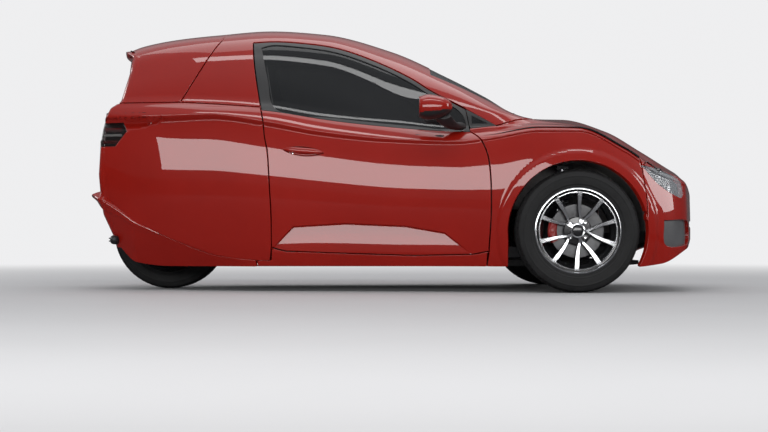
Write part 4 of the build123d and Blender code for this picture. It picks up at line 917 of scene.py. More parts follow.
# ---------------------------------------------------------------------------------------------
# Free-standing shapes
# ---------------------------------------------------------------------------------------------
class Shapes:
    """Loose shapes gathered into one mesh, each face with its material slot."""

    def __init__(self):
        self.verts, self.faces, self.slots = [], [], []

    def add(self, verts, faces, slot=0):
        """More faces, with one material slot for all or a list with one for each."""
        start = len(self.verts)
        self.verts.extend(tuple(float(c) for c in v) for v in verts)
        self.faces.extend(tuple(int(i) + start for i in f) for f in faces)
        self.slots.extend([slot] * len(faces) if isinstance(slot, int) else list(slot))
        return self

    def mirror(self):
        """The same shapes on the other side."""
        other = Shapes()
        other.verts = [(x, -y, z) for x, y, z in self.verts]
        other.faces = [f[::-1] for f in self.faces]
        other.slots = list(self.slots)
        return other

    def with_mirror(self):
        """These shapes and their mirror image together."""
        other = self.mirror()
        return self.add(other.verts, other.faces, other.slots)

    def make(self, name, materials, angle=35, place=(0, 0, 0)):
        """An object at a place, its edges sharp above an angle in degrees."""
        mesh = bpy.data.meshes.new(name)
        px, py, pz = place
        mesh.from_pydata([((x + px) * MM, (y + py) * MM, (z + pz) * MM) for x, y, z in self.verts],
                         [], self.faces)
        for m in materials:
            mesh.materials.append(m)
        mesh.polygons.foreach_set("material_index", self.slots)
        work = bmesh.new()
        work.from_mesh(mesh)
        bmesh.ops.recalc_face_normals(work, faces=work.faces)
        work.to_mesh(mesh)
        work.free()
        mesh.shade_smooth()
        mesh.set_sharp_from_angle(angle=math.radians(angle))
        return linked(name, mesh)

    def lathe(self, profile, slots=0, segments=96, axis="y", centre=(0, 0, 0)):
        """A profile of (radius, along) turned about an axis."""
        n = len(profile)
        turn = np.linspace(0, 2 * math.pi, segments, endpoint=False)
        verts = []
        for a in turn:
            c, s = math.cos(a), math.sin(a)
            for r, t in profile:
                p = {"y": (r * c, t, r * s), "x": (t, r * c, r * s), "z": (r * c, r * s, t)}[axis]
                verts.append(tuple(q + w for q, w in zip(p, centre)))
        faces, marks = [], []
        for k in range(segments):
            for i in range(n):
                j = (i + 1) % n
                m = (k + 1) % segments
                faces.append((k * n + i, k * n + j, m * n + j, m * n + i))
                marks.append(slots if isinstance(slots, int) else slots[i])
        return self.add(verts, faces, marks)

    def box(self, lo, hi, bevel=0.0, slot=0):
        """A block between two corners, its edges rounded by a bevel."""
        work = bmesh.new()
        bmesh.ops.create_cube(work, size=1)
        for v in work.verts:
            v.co = Vector([(l + h) / 2 + c * (h - l) for l, h, c in zip(lo, hi, v.co)])
        if bevel:
            bmesh.ops.bevel(work, geom=list(work.edges), offset=bevel, segments=3, affect="EDGES",
                            profile=0.5)
        work.verts.index_update()
        self.add([v.co[:] for v in work.verts], [[v.index for v in f.verts] for f in work.faces], slot)
        work.free()
        return self

    def loft(self, rings, slot=0, cap=True, closed_path=False):
        """Rings of equal point counts joined one after another."""
        rings = [np.asarray(r, float) for r in rings]
        n = len(rings[0])
        faces, marks = [], []
        count = len(rings)
        for k in range(count if closed_path else count - 1):
            m = (k + 1) % count
            for i in range(n):
                j = (i + 1) % n
                faces.append((k * n + i, k * n + j, m * n + j, m * n + i))
                marks.append(slot if isinstance(slot, int) else slot[i])
        if cap and not closed_path:
            faces += [tuple(range(n))[::-1], tuple((count - 1) * n + i for i in range(n))]
            marks += [marks[0], marks[0]]
        return self.add(np.vstack(rings), faces, marks)

    def tube(self, path, radius, slot=0, sides=12, closed_path=False):
        """A round rod along a path."""
        path = np.asarray(path, float)
        if closed_path:
            tangent = np.roll(path, -1, axis=0) - np.roll(path, 1, axis=0)
        else:
            tangent = np.gradient(path, axis=0)
        tangent /= np.linalg.norm(tangent, axis=1, keepdims=True)
        radii = np.broadcast_to(radius, len(path))
        up = np.array([0.0, 0.0, 1.0])
        if abs(tangent[0] @ up) > 0.9:
            up = np.array([1.0, 0.0, 0.0])
        rings = []
        for p, t, r in zip(path, tangent, radii):
            side = np.cross(t, up)
            side /= np.linalg.norm(side)
            up = np.cross(side, t)
            turn = np.linspace(0, 2 * math.pi, sides, endpoint=False)[:, None]
            rings.append(p + r * (np.cos(turn) * side + np.sin(turn) * up))
        return self.loft(rings, slot, cap=True, closed_path=closed_path)


def blob(centre, size, power, rings, sides):
    """A rounded lump: points and faces of a super-ellipsoid, squarer for a higher power."""
    def bulge(value, p):
        return math.copysign(abs(value) ** (2 / p), value)
    verts, faces = [], []
    for k in range(rings + 1):
        v = -math.pi / 2 + math.pi * k / rings
        for i in range(sides):
            u = 2 * math.pi * i / sides
            verts.append([
                centre[0] + size[0] * bulge(math.cos(v), power[1]) * bulge(math.cos(u), power[0]),
                centre[1] + size[1] * bulge(math.cos(v), power[1]) * bulge(math.sin(u), power[0]),
                centre[2] + size[2] * bulge(math.sin(v), power[1])])
    for k in range(rings):
        for i in range(sides):
            j = (i + 1) % sides
            faces.append((k * sides + i, k * sides + j, (k + 1) * sides + j, (k + 1) * sides + i))
    return verts, faces


# ---------------------------------------------------------------------------------------------
# Repeats by rule: one piece set round a ring
# ---------------------------------------------------------------------------------------------
def ring_tree():
    """A node tree that sets one piece round a ring and turns each to face outwards."""
    tree = bpy.data.node_groups.new("set_round_a_ring", "GeometryNodeTree")
    for label, kind in (("Geometry", "Geometry"), ("Piece", "Object"), ("Count", "Int"),
                        ("Radius", "Float"), ("First Turn", "Float"), ("Material", "Material")):
        tree.interface.new_socket(label, in_out="INPUT", socket_type="NodeSocket" + kind)
    tree.interface.new_socket("Geometry", in_out="OUTPUT", socket_type="NodeSocketGeometry")
    nodes = {name: tree.nodes.new(kind) for name, kind in (
        ("given", "NodeGroupInput"), ("result", "NodeGroupOutput"), ("circle", "GeometryNodeMeshCircle"),
        ("piece", "GeometryNodeObjectInfo"), ("index", "GeometryNodeInputIndex"),
        ("share", "ShaderNodeMath"), ("angle", "ShaderNodeMath"), ("euler", "ShaderNodeCombineXYZ"),
        ("place", "GeometryNodeInstanceOnPoints"), ("real", "GeometryNodeRealizeInstances"),
        ("paint", "GeometryNodeSetMaterial"), ("spin", "GeometryNodeTransform"),
        ("start", "ShaderNodeCombineXYZ"))}
    nodes["share"].operation = "DIVIDE"
    nodes["angle"].operation = "MULTIPLY"
    nodes["angle"].inputs[1].default_value = 2 * math.pi
    for source, output, target, socket in (
            ("given", "Count", "circle", "Vertices"), ("given", "Radius", "circle", "Radius"),
            ("given", "Piece", "piece", "Object"), ("index", 0, "share", 0), ("given", "Count", "share", 1),
            ("share", 0, "angle", 0), ("angle", 0, "euler", "Z"), ("circle", "Mesh", "place", "Points"),
            ("piece", "Geometry", "place", "Instance"), ("euler", 0, "place", "Rotation"),
            ("place", 0, "real", 0), ("real", 0, "spin", "Geometry"), ("given", "First Turn", "start", "Z"),
            ("start", 0, "spin", "Rotation"), ("spin", 0, "paint", "Geometry"),
            ("given", "Material", "paint", "Material"), ("paint", 0, "result", 0)):
        tree.links.new(nodes[source].outputs[output], nodes[target].inputs[socket])
    return tree


RING_TREE = ring_tree()


def set_round(name, piece, count, radius, first_turn, mat):
    """A piece repeated round the Z axis, in millimetres, as vertices and faces about Y."""
    holder = linked(name, bpy.data.meshes.new(name))
    rule = holder.modifiers.new("round", "NODES")
    rule.node_group = RING_TREE
    names = {item.name: item.identifier for item in RING_TREE.interface.items_tree
             if item.in_out == "INPUT"}
    for label, value in (("Piece", piece), ("Count", count), ("Radius", radius * MM),
                         ("First Turn", math.radians(first_turn)), ("Material", mat)):
        rule[names[label]] = value
    bpy.context.view_layer.update()
    mesh = solved_mesh(holder)
    verts = [(v.co.x / MM, -v.co.z / MM, v.co.y / MM) for v in mesh.vertices]
    faces = [tuple(p.vertices) for p in mesh.polygons]
    bpy.data.objects.remove(holder)
    bpy.data.meshes.remove(mesh)
    bpy.data.objects.remove(piece)
    return verts, faces


# ---------------------------------------------------------------------------------------------
# Wheels and tyres, made about the wheel's centre with the outer face along +Y
# ---------------------------------------------------------------------------------------------
TYRE_RADIUS, FLANGE = 293.0, 205.0
TREAD_BLOCKS, TREAD_BLOCK_FOOT, TREAD_BLOCK_TOP = 66, 283, 291.4
SPOKE_ROOT_TURN = 69.5
LUG_CIRCLE = 50.0


def wheel_shapes():
    """The alloy wheel: slot 0 machined, slot 1 black, slot 2 chrome."""
    w = Shapes()
    barrel = [
        (FLANGE, 66), (FLANGE, 70.5), (FLANGE - 2, 71.5), (FLANGE - 7, 71.5), (FLANGE - 8, 70),
        (FLANGE - 9, 65), (FLANGE - 12, 61), (FLANGE - 17, 60), (FLANGE - 19, 61.5),
        (FLANGE - 23, 61.5), (FLANGE - 25, 59), (176, 40), (162, 22), (160, -20), (176, -45),
        (182, -62), (196, -67), (FLANGE, -70), (FLANGE, -66), (196, -62), (188, -56), (186, -45),
        (168, -24), (168, 18), (184, 40), (187, 56), (194, 62)]
    marks = [1] * len(barrel)
    for k in (1, 2, 3, 8, 9):
        marks[k] = 0
    w.lathe(barrel, marks, segments=120)
    branches = ((30, 2.5, 54, 8.0), (46, 4.5, 50, 8.5), (62, 8.5, 50, 9), (80, 13.5, 52, 10.5),
                (104, 16.3, 55, 12.5), (140, 17.3, 59, 15.5), (170, 17.5, 62, 19), (187, 17.6, 62.5, 24))
    for root in range(5):
        for side in (-1, 1):
            rings = []
            for r, swing, front, wide in branches:
                a = math.radians(SPOKE_ROOT_TURN - 72 * root + side * swing)
                radial = np.array([math.cos(a), 0, math.sin(a)])
                across_ = np.array([-math.sin(a), 0, math.cos(a)])
                y = np.array([0, 1.0, 0])
                h = wide / 2
                ring = [(-h, 0), (h, 0), (h + 1.2, -1.6), (h + 3.5, -17), (h, -24), (-h, -24),
                        (-h - 3.5, -17), (-h - 1.2, -1.6)]
                rings.append([radial * r + across_ * p + y * (front + q) for p, q in ring])
            w.loft(rings, [0, 0, 1, 1, 1, 1, 1, 0])
    w.lathe([(0, 60), (19, 60), (23, 58.5), (26.5, 54), (27, 30), (25, 30), (25, 53), (20, 57.5),
             (0, 57.5)], 1, 48)
    w.lathe([(27.5, 53), (31, 54), (34, 52), (35, 40), (27.5, 40)], [0, 0, 1, 1, 1], 64)
    w.lathe([(35, 42), (64, 40), (68, 36), (70, 22), (40, 20), (35, 20)], 1, 80)
    for k in range(4):
        a = math.radians(45 + 90 * k)
        c = (LUG_CIRCLE * math.cos(a), 0, LUG_CIRCLE * math.sin(a))
        w.lathe([(14.5, 42), (14.5, 40.2), (11.5, 40.2), (10.5, 42.4)], 1, 24, centre=c)
        w.lathe([(0, 49), (6, 48.5), (9, 46), (9.5, 36), (0, 36)], 2, 6, centre=c)
    a = math.radians(-111)
    w.tube([(r * math.cos(a), y, r * math.sin(a)) for r, y in ((178, 44), (170, 52), (163, 60))],
           3.0, 1, 8)
    return w


def tyre_shapes():
    """The tyre: sidewalls with ribs, and a tread of blocks between grooves."""
    t = Shapes()
    half = [
        (190, 58), (198, 65), (FLANGE + 1, 68.5), (FLANGE + 4, 73.5), (FLANGE + 8, 74.5),
        (FLANGE + 10, 73.8), (222, 77.6), (223, 78.6), (225, 78.8), (226, 78.2), (238, 80.8),
        (250, 81.6), (257, 81.2), (258, 81.9), (260, 81.8), (261, 80.9), (268, 79.3), (275, 76.6),
        (279, 74.6), (279.6, 75.4), (281.6, 74.4), (282, 73), (284.5, 70.5), (286, 66)]
    grooves = [(286, 47), (286, 46), (292.2, 46), (292.6, 30), (286.5, 29.5), (286.5, 20.5),
               (292.9, 20), (293, 5.5), (287, 5)]
    profile = half + grooves
    profile = profile + [(r, -y) for r, y in reversed(profile)]
    profile += [(180, -52), (180, 52)]
    t.lathe(profile, 0, 132)
    low, top = TREAD_BLOCK_FOOT - TREAD_BLOCK_TOP, TREAD_BLOCK_TOP
    for side in (-1, 1):
        block = Shapes()
        lo, hi = sorted((side * 48, side * 76))
        drop_lo, drop_hi = (9.0, 0.0) if side < 0 else (0.0, 9.0)
        block.add([(low, -10, -hi), (low, 10, -hi), (low, 10, -lo), (low, -10, -lo),
                   (-drop_hi, -9.2, -hi), (-drop_hi, 9.2, -hi), (-drop_lo, 9.2, -lo), (-drop_lo, -9.2, -lo)],
                  [(0, 3, 2, 1), (4, 5, 6, 7), (0, 1, 5, 4), (1, 2, 6, 5), (2, 3, 7, 6), (3, 0, 4, 7)])
        piece = block.make("tread_block", (RUBBER,))
        t.add(*set_round("tread_row", piece, TREAD_BLOCKS, top, 2.7 * (side > 0), RUBBER))
    for at in (37.5, -37.5):
        rib = Shapes().box((-5, -5.6, -at - 6.0), (0, 5.6, -at + 6.0))
        piece = rib.make("rib_block", (RUBBER,))
        t.add(*set_round("rib_row", piece, TREAD_BLOCKS, TYRE_RADIUS, 0.0, RUBBER))
    return t


def disc_shapes():
    """The brake disc: two faces with an air gap between them, and its bell."""
    d = Shapes()
    d.lathe([(62, 4), (60, 6), (40, 6), (40, 2), (56, 0), (62, -4), (70, -3), (127, -3), (128, -4),
             (128, -9), (122, -9), (122, -13), (128, -13), (128, -20), (127, -21), (66, -21), (62, -18),
             (56, -14)][::-1], 0, 96)
    return d


WHEELS = (
    # name, centre, side that the face looks to, ending of the rim's and the tyre's node
    ("left", (FRONT_AXLE_X, HALF_TRACK, AXLE_Z), 1, "front_left"),
    ("right", (FRONT_AXLE_X, -HALF_TRACK, AXLE_Z), -1, "front_right"),
    ("rear", (REAR_AXLE_X, 0, AXLE_Z), 1, "rear"),
)
alloy, tyre = wheel_shapes(), tyre_shapes()
for name, centre, side, place in WHEELS:
    shapes = alloy if side > 0 else alloy.mirror()
    own(shapes.make("alloy_wheel_" + name, (MACHINED, WHEEL_BLACK, CHROME), 30, centre),
        name + "_wheel", "wheel_alloy", "rim_" + place)
    own(tyre.make("tyre_with_tread_" + name, (RUBBER,), 40, centre), name + "_wheel", "tyre_rubber",
        "tyre_" + place)


def skin_spot(x, z, sink=0.0):
    """A point of the left side's skin and its normal, from a side-view point."""
    u, g = SKIN.from_side(x, z)
    point, normal = skin_points(np.array([u]), np.array([g]), sink)
    return point[0], normal[0]


def cup(shapes, point, normal, radius, depth, slot, lip=0.0, lip_slot=None, segments=32):
    """A round bowl that opens along a normal."""
    n = Vector(normal)
    side = n.cross(Vector((0, 0, 1))).normalized()
    up = side.cross(n)
    profile = [(radius + lip, 0.0), (radius, 1.0), (radius * 0.92, -depth * 0.35),
               (radius * 0.6, -depth * 0.8), (radius * 0.25, -depth), (0.3, -depth)]
    if lip:
        profile = [(radius + lip, -depth * 0.5), (radius + lip, 0.5)] + profile[1:]
    verts, faces, marks = [], [], []
    for k in range(segments):
        a = 2 * math.pi * k / segments
        for r, t in profile:
            verts.append(Vector(point) + side * (r * math.cos(a)) + up * (r * math.sin(a)) + n * t)
    count = len(profile)
    for k in range(segments):
        m = (k + 1) % segments
        for i in range(count - 1):
            faces.append((k * count + i, m * count + i, m * count + i + 1, k * count + i + 1))
            marks.append(lip_slot if lip and i < 2 and lip_slot is not None else slot)
    return shapes.add([v[:] for v in verts], faces, marks)


# ---------------------------------------------------------------------------------------------
# Mirrors and door handles
# ---------------------------------------------------------------------------------------------
MIRROR_CENTRE, MIRROR_HALF, MIRROR_FACE = (190, 684, 880), (92, 84, 60), -0.72


def mirror_shapes():
    """Left mirror: slot 0 paint, 1 black, 2 mirror glass."""
    m = Shapes()
    verts, faces = blob((0, 0, 0), (1, 1, 1), (2.6, 2.5), 36, 56)
    v = np.array(verts)
    rear = v[:, 0] < MIRROR_FACE
    v[rear, 0] = MIRROR_FACE + (v[rear, 0] - MIRROR_FACE) * 0.12
    v[:, 2] *= 1 - 0.24 * np.clip(v[:, 0] + 0.2, 0, 2)
    v = v * MIRROR_HALF + MIRROR_CENTRE
    glass_x = MIRROR_CENTRE[0] - 0.705 * MIRROR_HALF[0]
    marks = []
    for f in faces:
        c = v[list(f)].mean(0)
        if c[0] < glass_x and abs(c[1] - MIRROR_CENTRE[1]) < 62 and abs(c[2] - MIRROR_CENTRE[2]) < 40:
            marks.append(2)
        else:
            marks.append(1 if c[2] < 850 + 0.10 * (c[0] - 122) or c[0] < 124 else 0)
    m.add(v, faces, marks)
    rings = []
    for t in np.linspace(0, 1, 12):
        at = np.array([232, 676, 838]) * (1 - t) + np.array([322, 562, 800]) * t
        at[2] -= 16 * math.sin(math.pi * t)
        wide, high = 42 - 8 * t, 14 + 6 * t
        turn = np.linspace(0, 2 * math.pi, 20, endpoint=False)
        rings.append([at + (wide * math.cos(a), 0.25 * wide * math.cos(a), high * math.sin(a))
                      for a in turn])
    m.loft(rings, 1)
    return m


pair(mirror_shapes(), "door_mirror", (PAINT, BLACK_SATIN, MIRROR_GLASS), "body_paint", "mirror", (50,))


def handle_shapes():
    """Door handle: a lens-shaped cup let into the skin, a bar across it and a round lock."""
    rings = [[skin_spot(x, z, CUP_DEPTH * deep)[0]
              for x, z in lens_outline(HANDLE_HALF * share, CUP_HALF_HEIGHT * share, 22)]
             for share, deep in ((1.0, 0.0), (0.97, 0.25), (0.9, 0.55), (0.78, 0.8), (0.6, 0.95),
                                 (0.35, 1.0))]
    s = Shapes()
    s.loft(rings[::-1], 0, cap=False)
    s.add(rings[-1], [tuple(range(len(rings[-1])))], 0)
    bar = []
    for t in np.linspace(-1, 1, 25):
        x = HANDLE_X + t * (HANDLE_HALF - 3)
        z = HANDLE_Z + 4 + HANDLE_LEAN * (x - HANDLE_X)
        point, normal = skin_spot(x, z)
        out = -7 + 15 * (1 - abs(t) ** 3)
        wide = 3 + 10 * (1 - abs(t) ** 4)
        up = np.cross(normal, np.cross(np.array([0, 0, 1.0]), normal))
        bar.append([point + normal * (out + 5 * math.cos(a)) + up * (wide * math.sin(a))
                    for a in np.linspace(0, 2 * math.pi, 14, endpoint=False)])
    s.loft(bar, 0)
    point, normal = skin_spot(HANDLE_X - 62, HANDLE_Z - 8, 12)
    cup(s, point, normal, 8, 4, 1, 3.0, 1, 20)
    return s


pair(handle_shapes(), "door_handle", (PAINT, CHROME), "body_paint", "door", (40,))


# ---------------------------------------------------------------------------------------------
# Lamps, grilles, rear lip
# ---------------------------------------------------------------------------------------------
lamp_lens = thin([side_loop(LAMP_SEAM, 1.0)], 3, 12, 1.0)
whole(lamp_lens, "headlamp_lenses", (LAMP_GLASS,), "body", "lamp_clear", "headlamps")
lamp_bed = thin([side_loop(LAMP_SEAM, 3.0)], 3, 9, 46.0)
whole(lamp_bed, "headlamp_beds", (BLACK_GLOSS,), "body", "lamp_clear", "headlamps")
lamp_parts = Shapes()
for x, z, radius in ((1345, 512, 27), (1290, 556, 22)):
    point, normal = skin_spot(x, z, 26)
    aim = Vector(normal) * 0.55 + Vector((1, 0, 0)) * 0.7
    cup(lamp_parts, point, aim.normalized(), radius, 24, 0, 5.0, 1)
    lamp_parts.add(*blob(tuple(Vector(point) - aim.normalized() * 8), (9, 9, 9), (2, 2), 10, 14), slot=2)
guide = [skin_spot(x, z, 8)[0] for x, z in through(((1205, 601), (1290, 583), (1375, 545), (1396, 500),
                                                   (1390, 470)), 6)]
lamp_parts.tube(guide, 4.0, 2, 10)
both(lamp_parts, "headlamp_reflectors", (CHROME, BLACK_GLOSS, LAMP_GLASS), 50, "lamp_clear", "headlamps")
intake_bed = thin([side_loop(INTAKE_SEAM, 1.0)], 3, 9, 16.0)
whole(intake_bed, "intake_beds", (SMOKED,), "body", "black_trim", "front_grilles")

tail_lens = thin([tail_lamp_outline(2, 2)], 4, 9, 1.0)
whole(tail_lens, "tail_lamp_lenses", (SMOKED_LENS,), "body", "lamp_red", "tail_lamps")
tail_bed = thin([tail_lamp_outline(4, 3)], 3, 9, 20.0)
whole(tail_bed, "tail_lamp_beds", (BLACK_GLOSS,), "body", "lamp_red", "tail_lamps")


def tail_path(zs, sink):
    """A line round the tail corner at a height, from the side to the face."""
    points = [SKIN.from_side(x, zs) for x in np.linspace(-1345, -1450, 14)]
    points += [SKIN.from_tail(y, zs) for y in np.linspace(360, TAIL_LAMP_HALF + 16, 8)]
    u, g = np.array(points).T
    return skin_points(u, g, sink)[0]


strips = Shapes()
for z, radius, slot in ((804, 11.0, 0), (770, 6.0, 1), (736, 9.0, 0)):
    strips.tube(tail_path(z, 15), radius, slot, 12)
both(strips, "tail_lamp_guides", (RED_LENS, GLOW), 60, "lamp_red", "tail_lamps")

LIP_Z, LIP_REAR_X = 490.0, -1556.0


def lip_path():
    """Points and outward normals along the lip, from the flank round the corner to the middle."""
    chart = [SKIN.from_side(x, float(np.interp(x, SKIRT_CREASE[:, 0], SKIRT_CREASE[:, 1])))
             for x in np.linspace(-1150, -1440, 24)]
    chart += [SKIN.from_tail(y, LIP_Z) for y in np.linspace(360, 0, 26)]
    u, g = np.array(chart).T
    g[24:] = np.linspace(g[24], SKIN.from_tail(0, LIP_Z)[1], 26)
    return skin_points(u, g)


point, normal = lip_path()
normal[:, 2] = 0
normal /= np.linalg.norm(normal, axis=1, keepdims=True)
travel = np.concatenate([[0], np.cumsum(np.linalg.norm(np.diff(point, axis=0), axis=1))])
travel /= travel[-1]
wide = np.interp(travel, (0, 0.3, 0.45, 0.6, 1.0), (1, 9, 30, 52, 74))
deep = np.interp(travel, (0, 0.3, 0.5, 1.0), (4, 26, 70, 96))
rings = []
for p, n, w, d in zip(point, normal, wide, deep):
    wide_here = min(w, p[0] - LIP_REAR_X) if n[0] < -0.9 else w
    up = np.array([0, 0, 1.0])
    rings.append([p - n * 6 + up * 5, p + n * wide_here * 0.5 + up * (1 - w * 0.10),
                  p + n * (wide_here - 2) - up * w * 0.26, p + n * wide_here - up * (w * 0.26 + 3),
                  p + n * (wide_here - 3) - up * (w * 0.30 + 8), p + n * wide_here * 0.45 - up * d * 0.6,
                  p + n * 1 - up * d, p - n * 6 - up * d])
lip = Shapes()
lip.loft(rings, 0)
both(lip, "rear_lip_blade", (PAINT,), 30, "body_paint", "rear_skirt")

# ---------------------------------------------------------------------------------------------
# Front grille, tow socket, blank plate, wiper, corner inserts, charge port's button
# ---------------------------------------------------------------------------------------------
grille_bed = thin([chart_line([
    (GRILLE_U + 2, GRILLE_G[0] + 2), (NOSE_END, GRILLE_G[0] + 2), (NOSE_END, GRILLE_G[1] - 2),
    (GRILLE_U + 2, GRILLE_G[1] - 2), (GRILLE_U + 2, GRILLE_G[0] + 2)])[:-1]], 3, 9, 18.0)
whole(grille_bed, "front_grille_bed", (BLACK_SATIN,), "body", "black_trim", "front_grilles")
slats = Shapes()
for share in (0.2, 0.5, 0.8):
    u = np.linspace(GRILLE_U + 4, NOSE_END, 30)
    g = np.full(30, GRILLE_G[0] + (GRILLE_G[1] - GRILLE_G[0]) * share)
    slats.tube(skin_points(u, g, 9.0)[0], 4.5, 0, 10)
both(slats, "front_grille_slats", (BLACK_GLOSS,), 35, "black_trim", "front_grilles")
socket = Shapes()
cup(socket, (1552, 40, 400), (1, 0, 0), 8, 30, 1, 4.0, 0)
own(socket.make("tow_socket_collar", (BLACK_SATIN, STEEL)), "body", "black_trim")

plate = Shapes()
plate.box((-1499, -158, 604), (-1484, 158, 764), 3.0, 1)
plate.box((-1502, -152, 610), (-1497, 152, 758), 1.0, 0)
for y in (-130, 130):
    for z in (624, 744):
        plate.lathe([(0, -1504), (5, -1503.5), (6, -1501), (6, -1497), (0, -1497)], 1, 16, axis="x",
                    centre=(0, y, z))
own(plate.make("rear_blank_plate", (PLATE, BLACK_SATIN)), "tailgate_lid", "black_trim")


def over_screen(x, y, gap):
    """A point of the left half, a gap above the skin."""
    return skin_points(*np.array([SKIN.from_top(x, y)]).T, -gap)[0][0]


wiper = Shapes()
blade_path = [over_screen(x, y, 14.0)
              for x, y in through(((668, 330), (664, 200), (652, 60), (640, 0)), 14)]
blade_path += [over_screen(x, y, 14.0) * (1, -1, 1)
               for x, y in through(((640, 0), (634, 40), (622, 120)), 14)[1:]]
wiper.tube(blade_path, 4.0, 0, 10)
wiper.tube([p - (0, 0, 6) for p in blade_path], 3.0, 0, 6)
pivot = over_screen(698, 180, 4.0)
middle = blade_path[len(blade_path) // 2]
wiper.tube([pivot, pivot + (-14, -30, 16), middle + (4, 10, 8), middle + (0, 0, 4)], 6.0, 0, 12)
wiper.lathe([(0, 18), (14, 17), (17, 12), (17, -4), (0, -4)], 0, 24, axis="z", centre=tuple(pivot))
own(wiper.make("screen_wiper", (BLACK_SATIN,)), "body", "black_trim")

insert = Shapes()
insert.add(*blob((-1392, 262, 252), (26, 84, 24), (3.0, 3.0), 16, 28), slot=0)
for k in range(2):
    insert.box((-1420, 196, 242 + 14 * k), (-1413, 328, 248 + 14 * k), 2.0, 1)
both(insert, "tail_lower_inserts", (BLACK_SATIN, BLACK_GLOSS), 35, "black_trim", "rear_skirt")

button = Shapes()
point, normal = skin_spot(-1200, 824)
cup(button, point, normal, 7, 3, 0, 4.0, 1, 24)
both(button, "charge_port_locks", (BLACK_SATIN, CHROME), 35, "body_paint")

# ---------------------------------------------------------------------------------------------
# Suspension details seen in the arches
# ---------------------------------------------------------------------------------------------
springs = Shapes()
for centre, low, high, turns, radius in (((830, 465), 300, 560, 7.5, 30), ((830, -465), 300, 560, 7.5, 30),
                                         ((-823, 0), 380, 590, 6.0, 34)):
    t = np.linspace(0, 1, 150)
    a = t * turns * 2 * math.pi
    springs.tube(np.column_stack([centre[0] + radius * np.cos(a), centre[1] + radius * np.sin(a),
                                  low + (high - low) * t]), 4.5, 0, 8)
    for z in (low - 8, high + 2):
        springs.lathe([(18, z), (radius + 5, z), (radius + 5, z + 4), (18, z + 4)], 1, 40, axis="z",
                      centre=(centre[0], centre[1], 0))
own(springs.make("suspension_springs", (SPRING, STEEL)), "body", "damper_steel")


CALIPER_Y, DISC_Y = 644.0, 652.0


def caliper_shapes():
    """A two-part brake caliper bridged over the disc, ribbed, about the left wheel."""
    c = Shapes()
    centre, low, high = math.radians(180), 96, 138
    rings = []
    for t in np.linspace(-1, 1, 22):
        a = centre + math.radians(26) * t
        swell = 1 - 0.28 * abs(t) ** 3
        ring = []
        for r, y in ((low + 8, 15), (low, 9), (low, -16), (low + 10, -24), (high - 8, -24),
                     (high, -14), (high, 8), (high - 10, 15)):
            rr = (r - 118) * swell + 118
            ring.append((rr * math.cos(a), y, rr * math.sin(a)))
        rings.append(ring)
    c.loft(rings, 0)
    for t in (-0.55, 0.0, 0.55):
        a = centre + math.radians(26) * t
        c.lathe([(0, 18), (9, 17.5), (11, 15), (11, 8), (0, 8)], 0, 20,
                centre=(118 * math.cos(a), 0, 118 * math.sin(a)))
    return c


caliper, disc = caliper_shapes(), disc_shapes()
for side, name in ((1, "left"), (-1, "right")):
    if side < 0:
        caliper, disc = caliper.mirror(), disc.mirror()
    own(caliper.make("brake_caliper_" + name, (CALIPER,), 35, (FRONT_AXLE_X, side * CALIPER_Y, AXLE_Z)),
        name + "_knuckle", "caliper_red", "caliper_" + name)
    own(disc.make("brake_disc_face_" + name, (IRON,), 35, (FRONT_AXLE_X, side * DISC_Y, AXLE_Z)),
        name + "_wheel", "disc_iron", "brake_disc_" + name)

# ---------------------------------------------------------------------------------------------
# Cabin
# ---------------------------------------------------------------------------------------------
dash_half = [(275, 700), (280, 724), (300, 742), (352, 756), (430, 764), (500, 766), (503, 700),
             (500, 590), (420, 586), (360, 600), (318, 632), (288, 664)]
rings = []
for y in np.linspace(-452, 452, 49):
    hood = 1 - min(1.0, abs(y) / 190) ** 2
    brow = 6 * math.cos(y / 452 * math.pi / 2)
    ring = []
    for k, (x, z) in enumerate(dash_half):
        lift = (4 * hood + brow - 8) if k in (1, 2, 3, 4) else 0
        ring.append((x + (10 * abs(y / 452) ** 3 if k < 4 or k > 8 else 0), y, min(769, z + lift)))
    rings.append(ring)
dash = Shapes()
dash.loft(rings, 0)
dash.box((262, -104, 668), (276, 104, 742), 6.0, 1)
dash.box((260.5, -94, 676), (262.5, 94, 734), 0.5, 2)
for y in (-380, -250, 250, 380):
    dash.box((278, y - 48, 690), (296, y + 48, 728), 5.0, 1)
    for k in range(4):
        dash.box((273, y - 42, 696 + 8 * k), (282, y + 42, 699 + 8 * k), 0.8, 1)
dash.box((300, -60, 560), (330, 60, 640), 8.0, 1)
for y in (-34, 0, 34):
    dash.lathe([(0, 290), (11, 291), (12, 294), (12, 304), (0, 304)], 1, 24, axis="x",
               centre=(0, y, 600))
own(dash.make("dashboard_top", (CABIN, BLACK_SATIN, SCREEN_FACE), 40), "body", "cabin_plastic",
    "dashboard")


HUB_X, HUB_Z = 60, 700


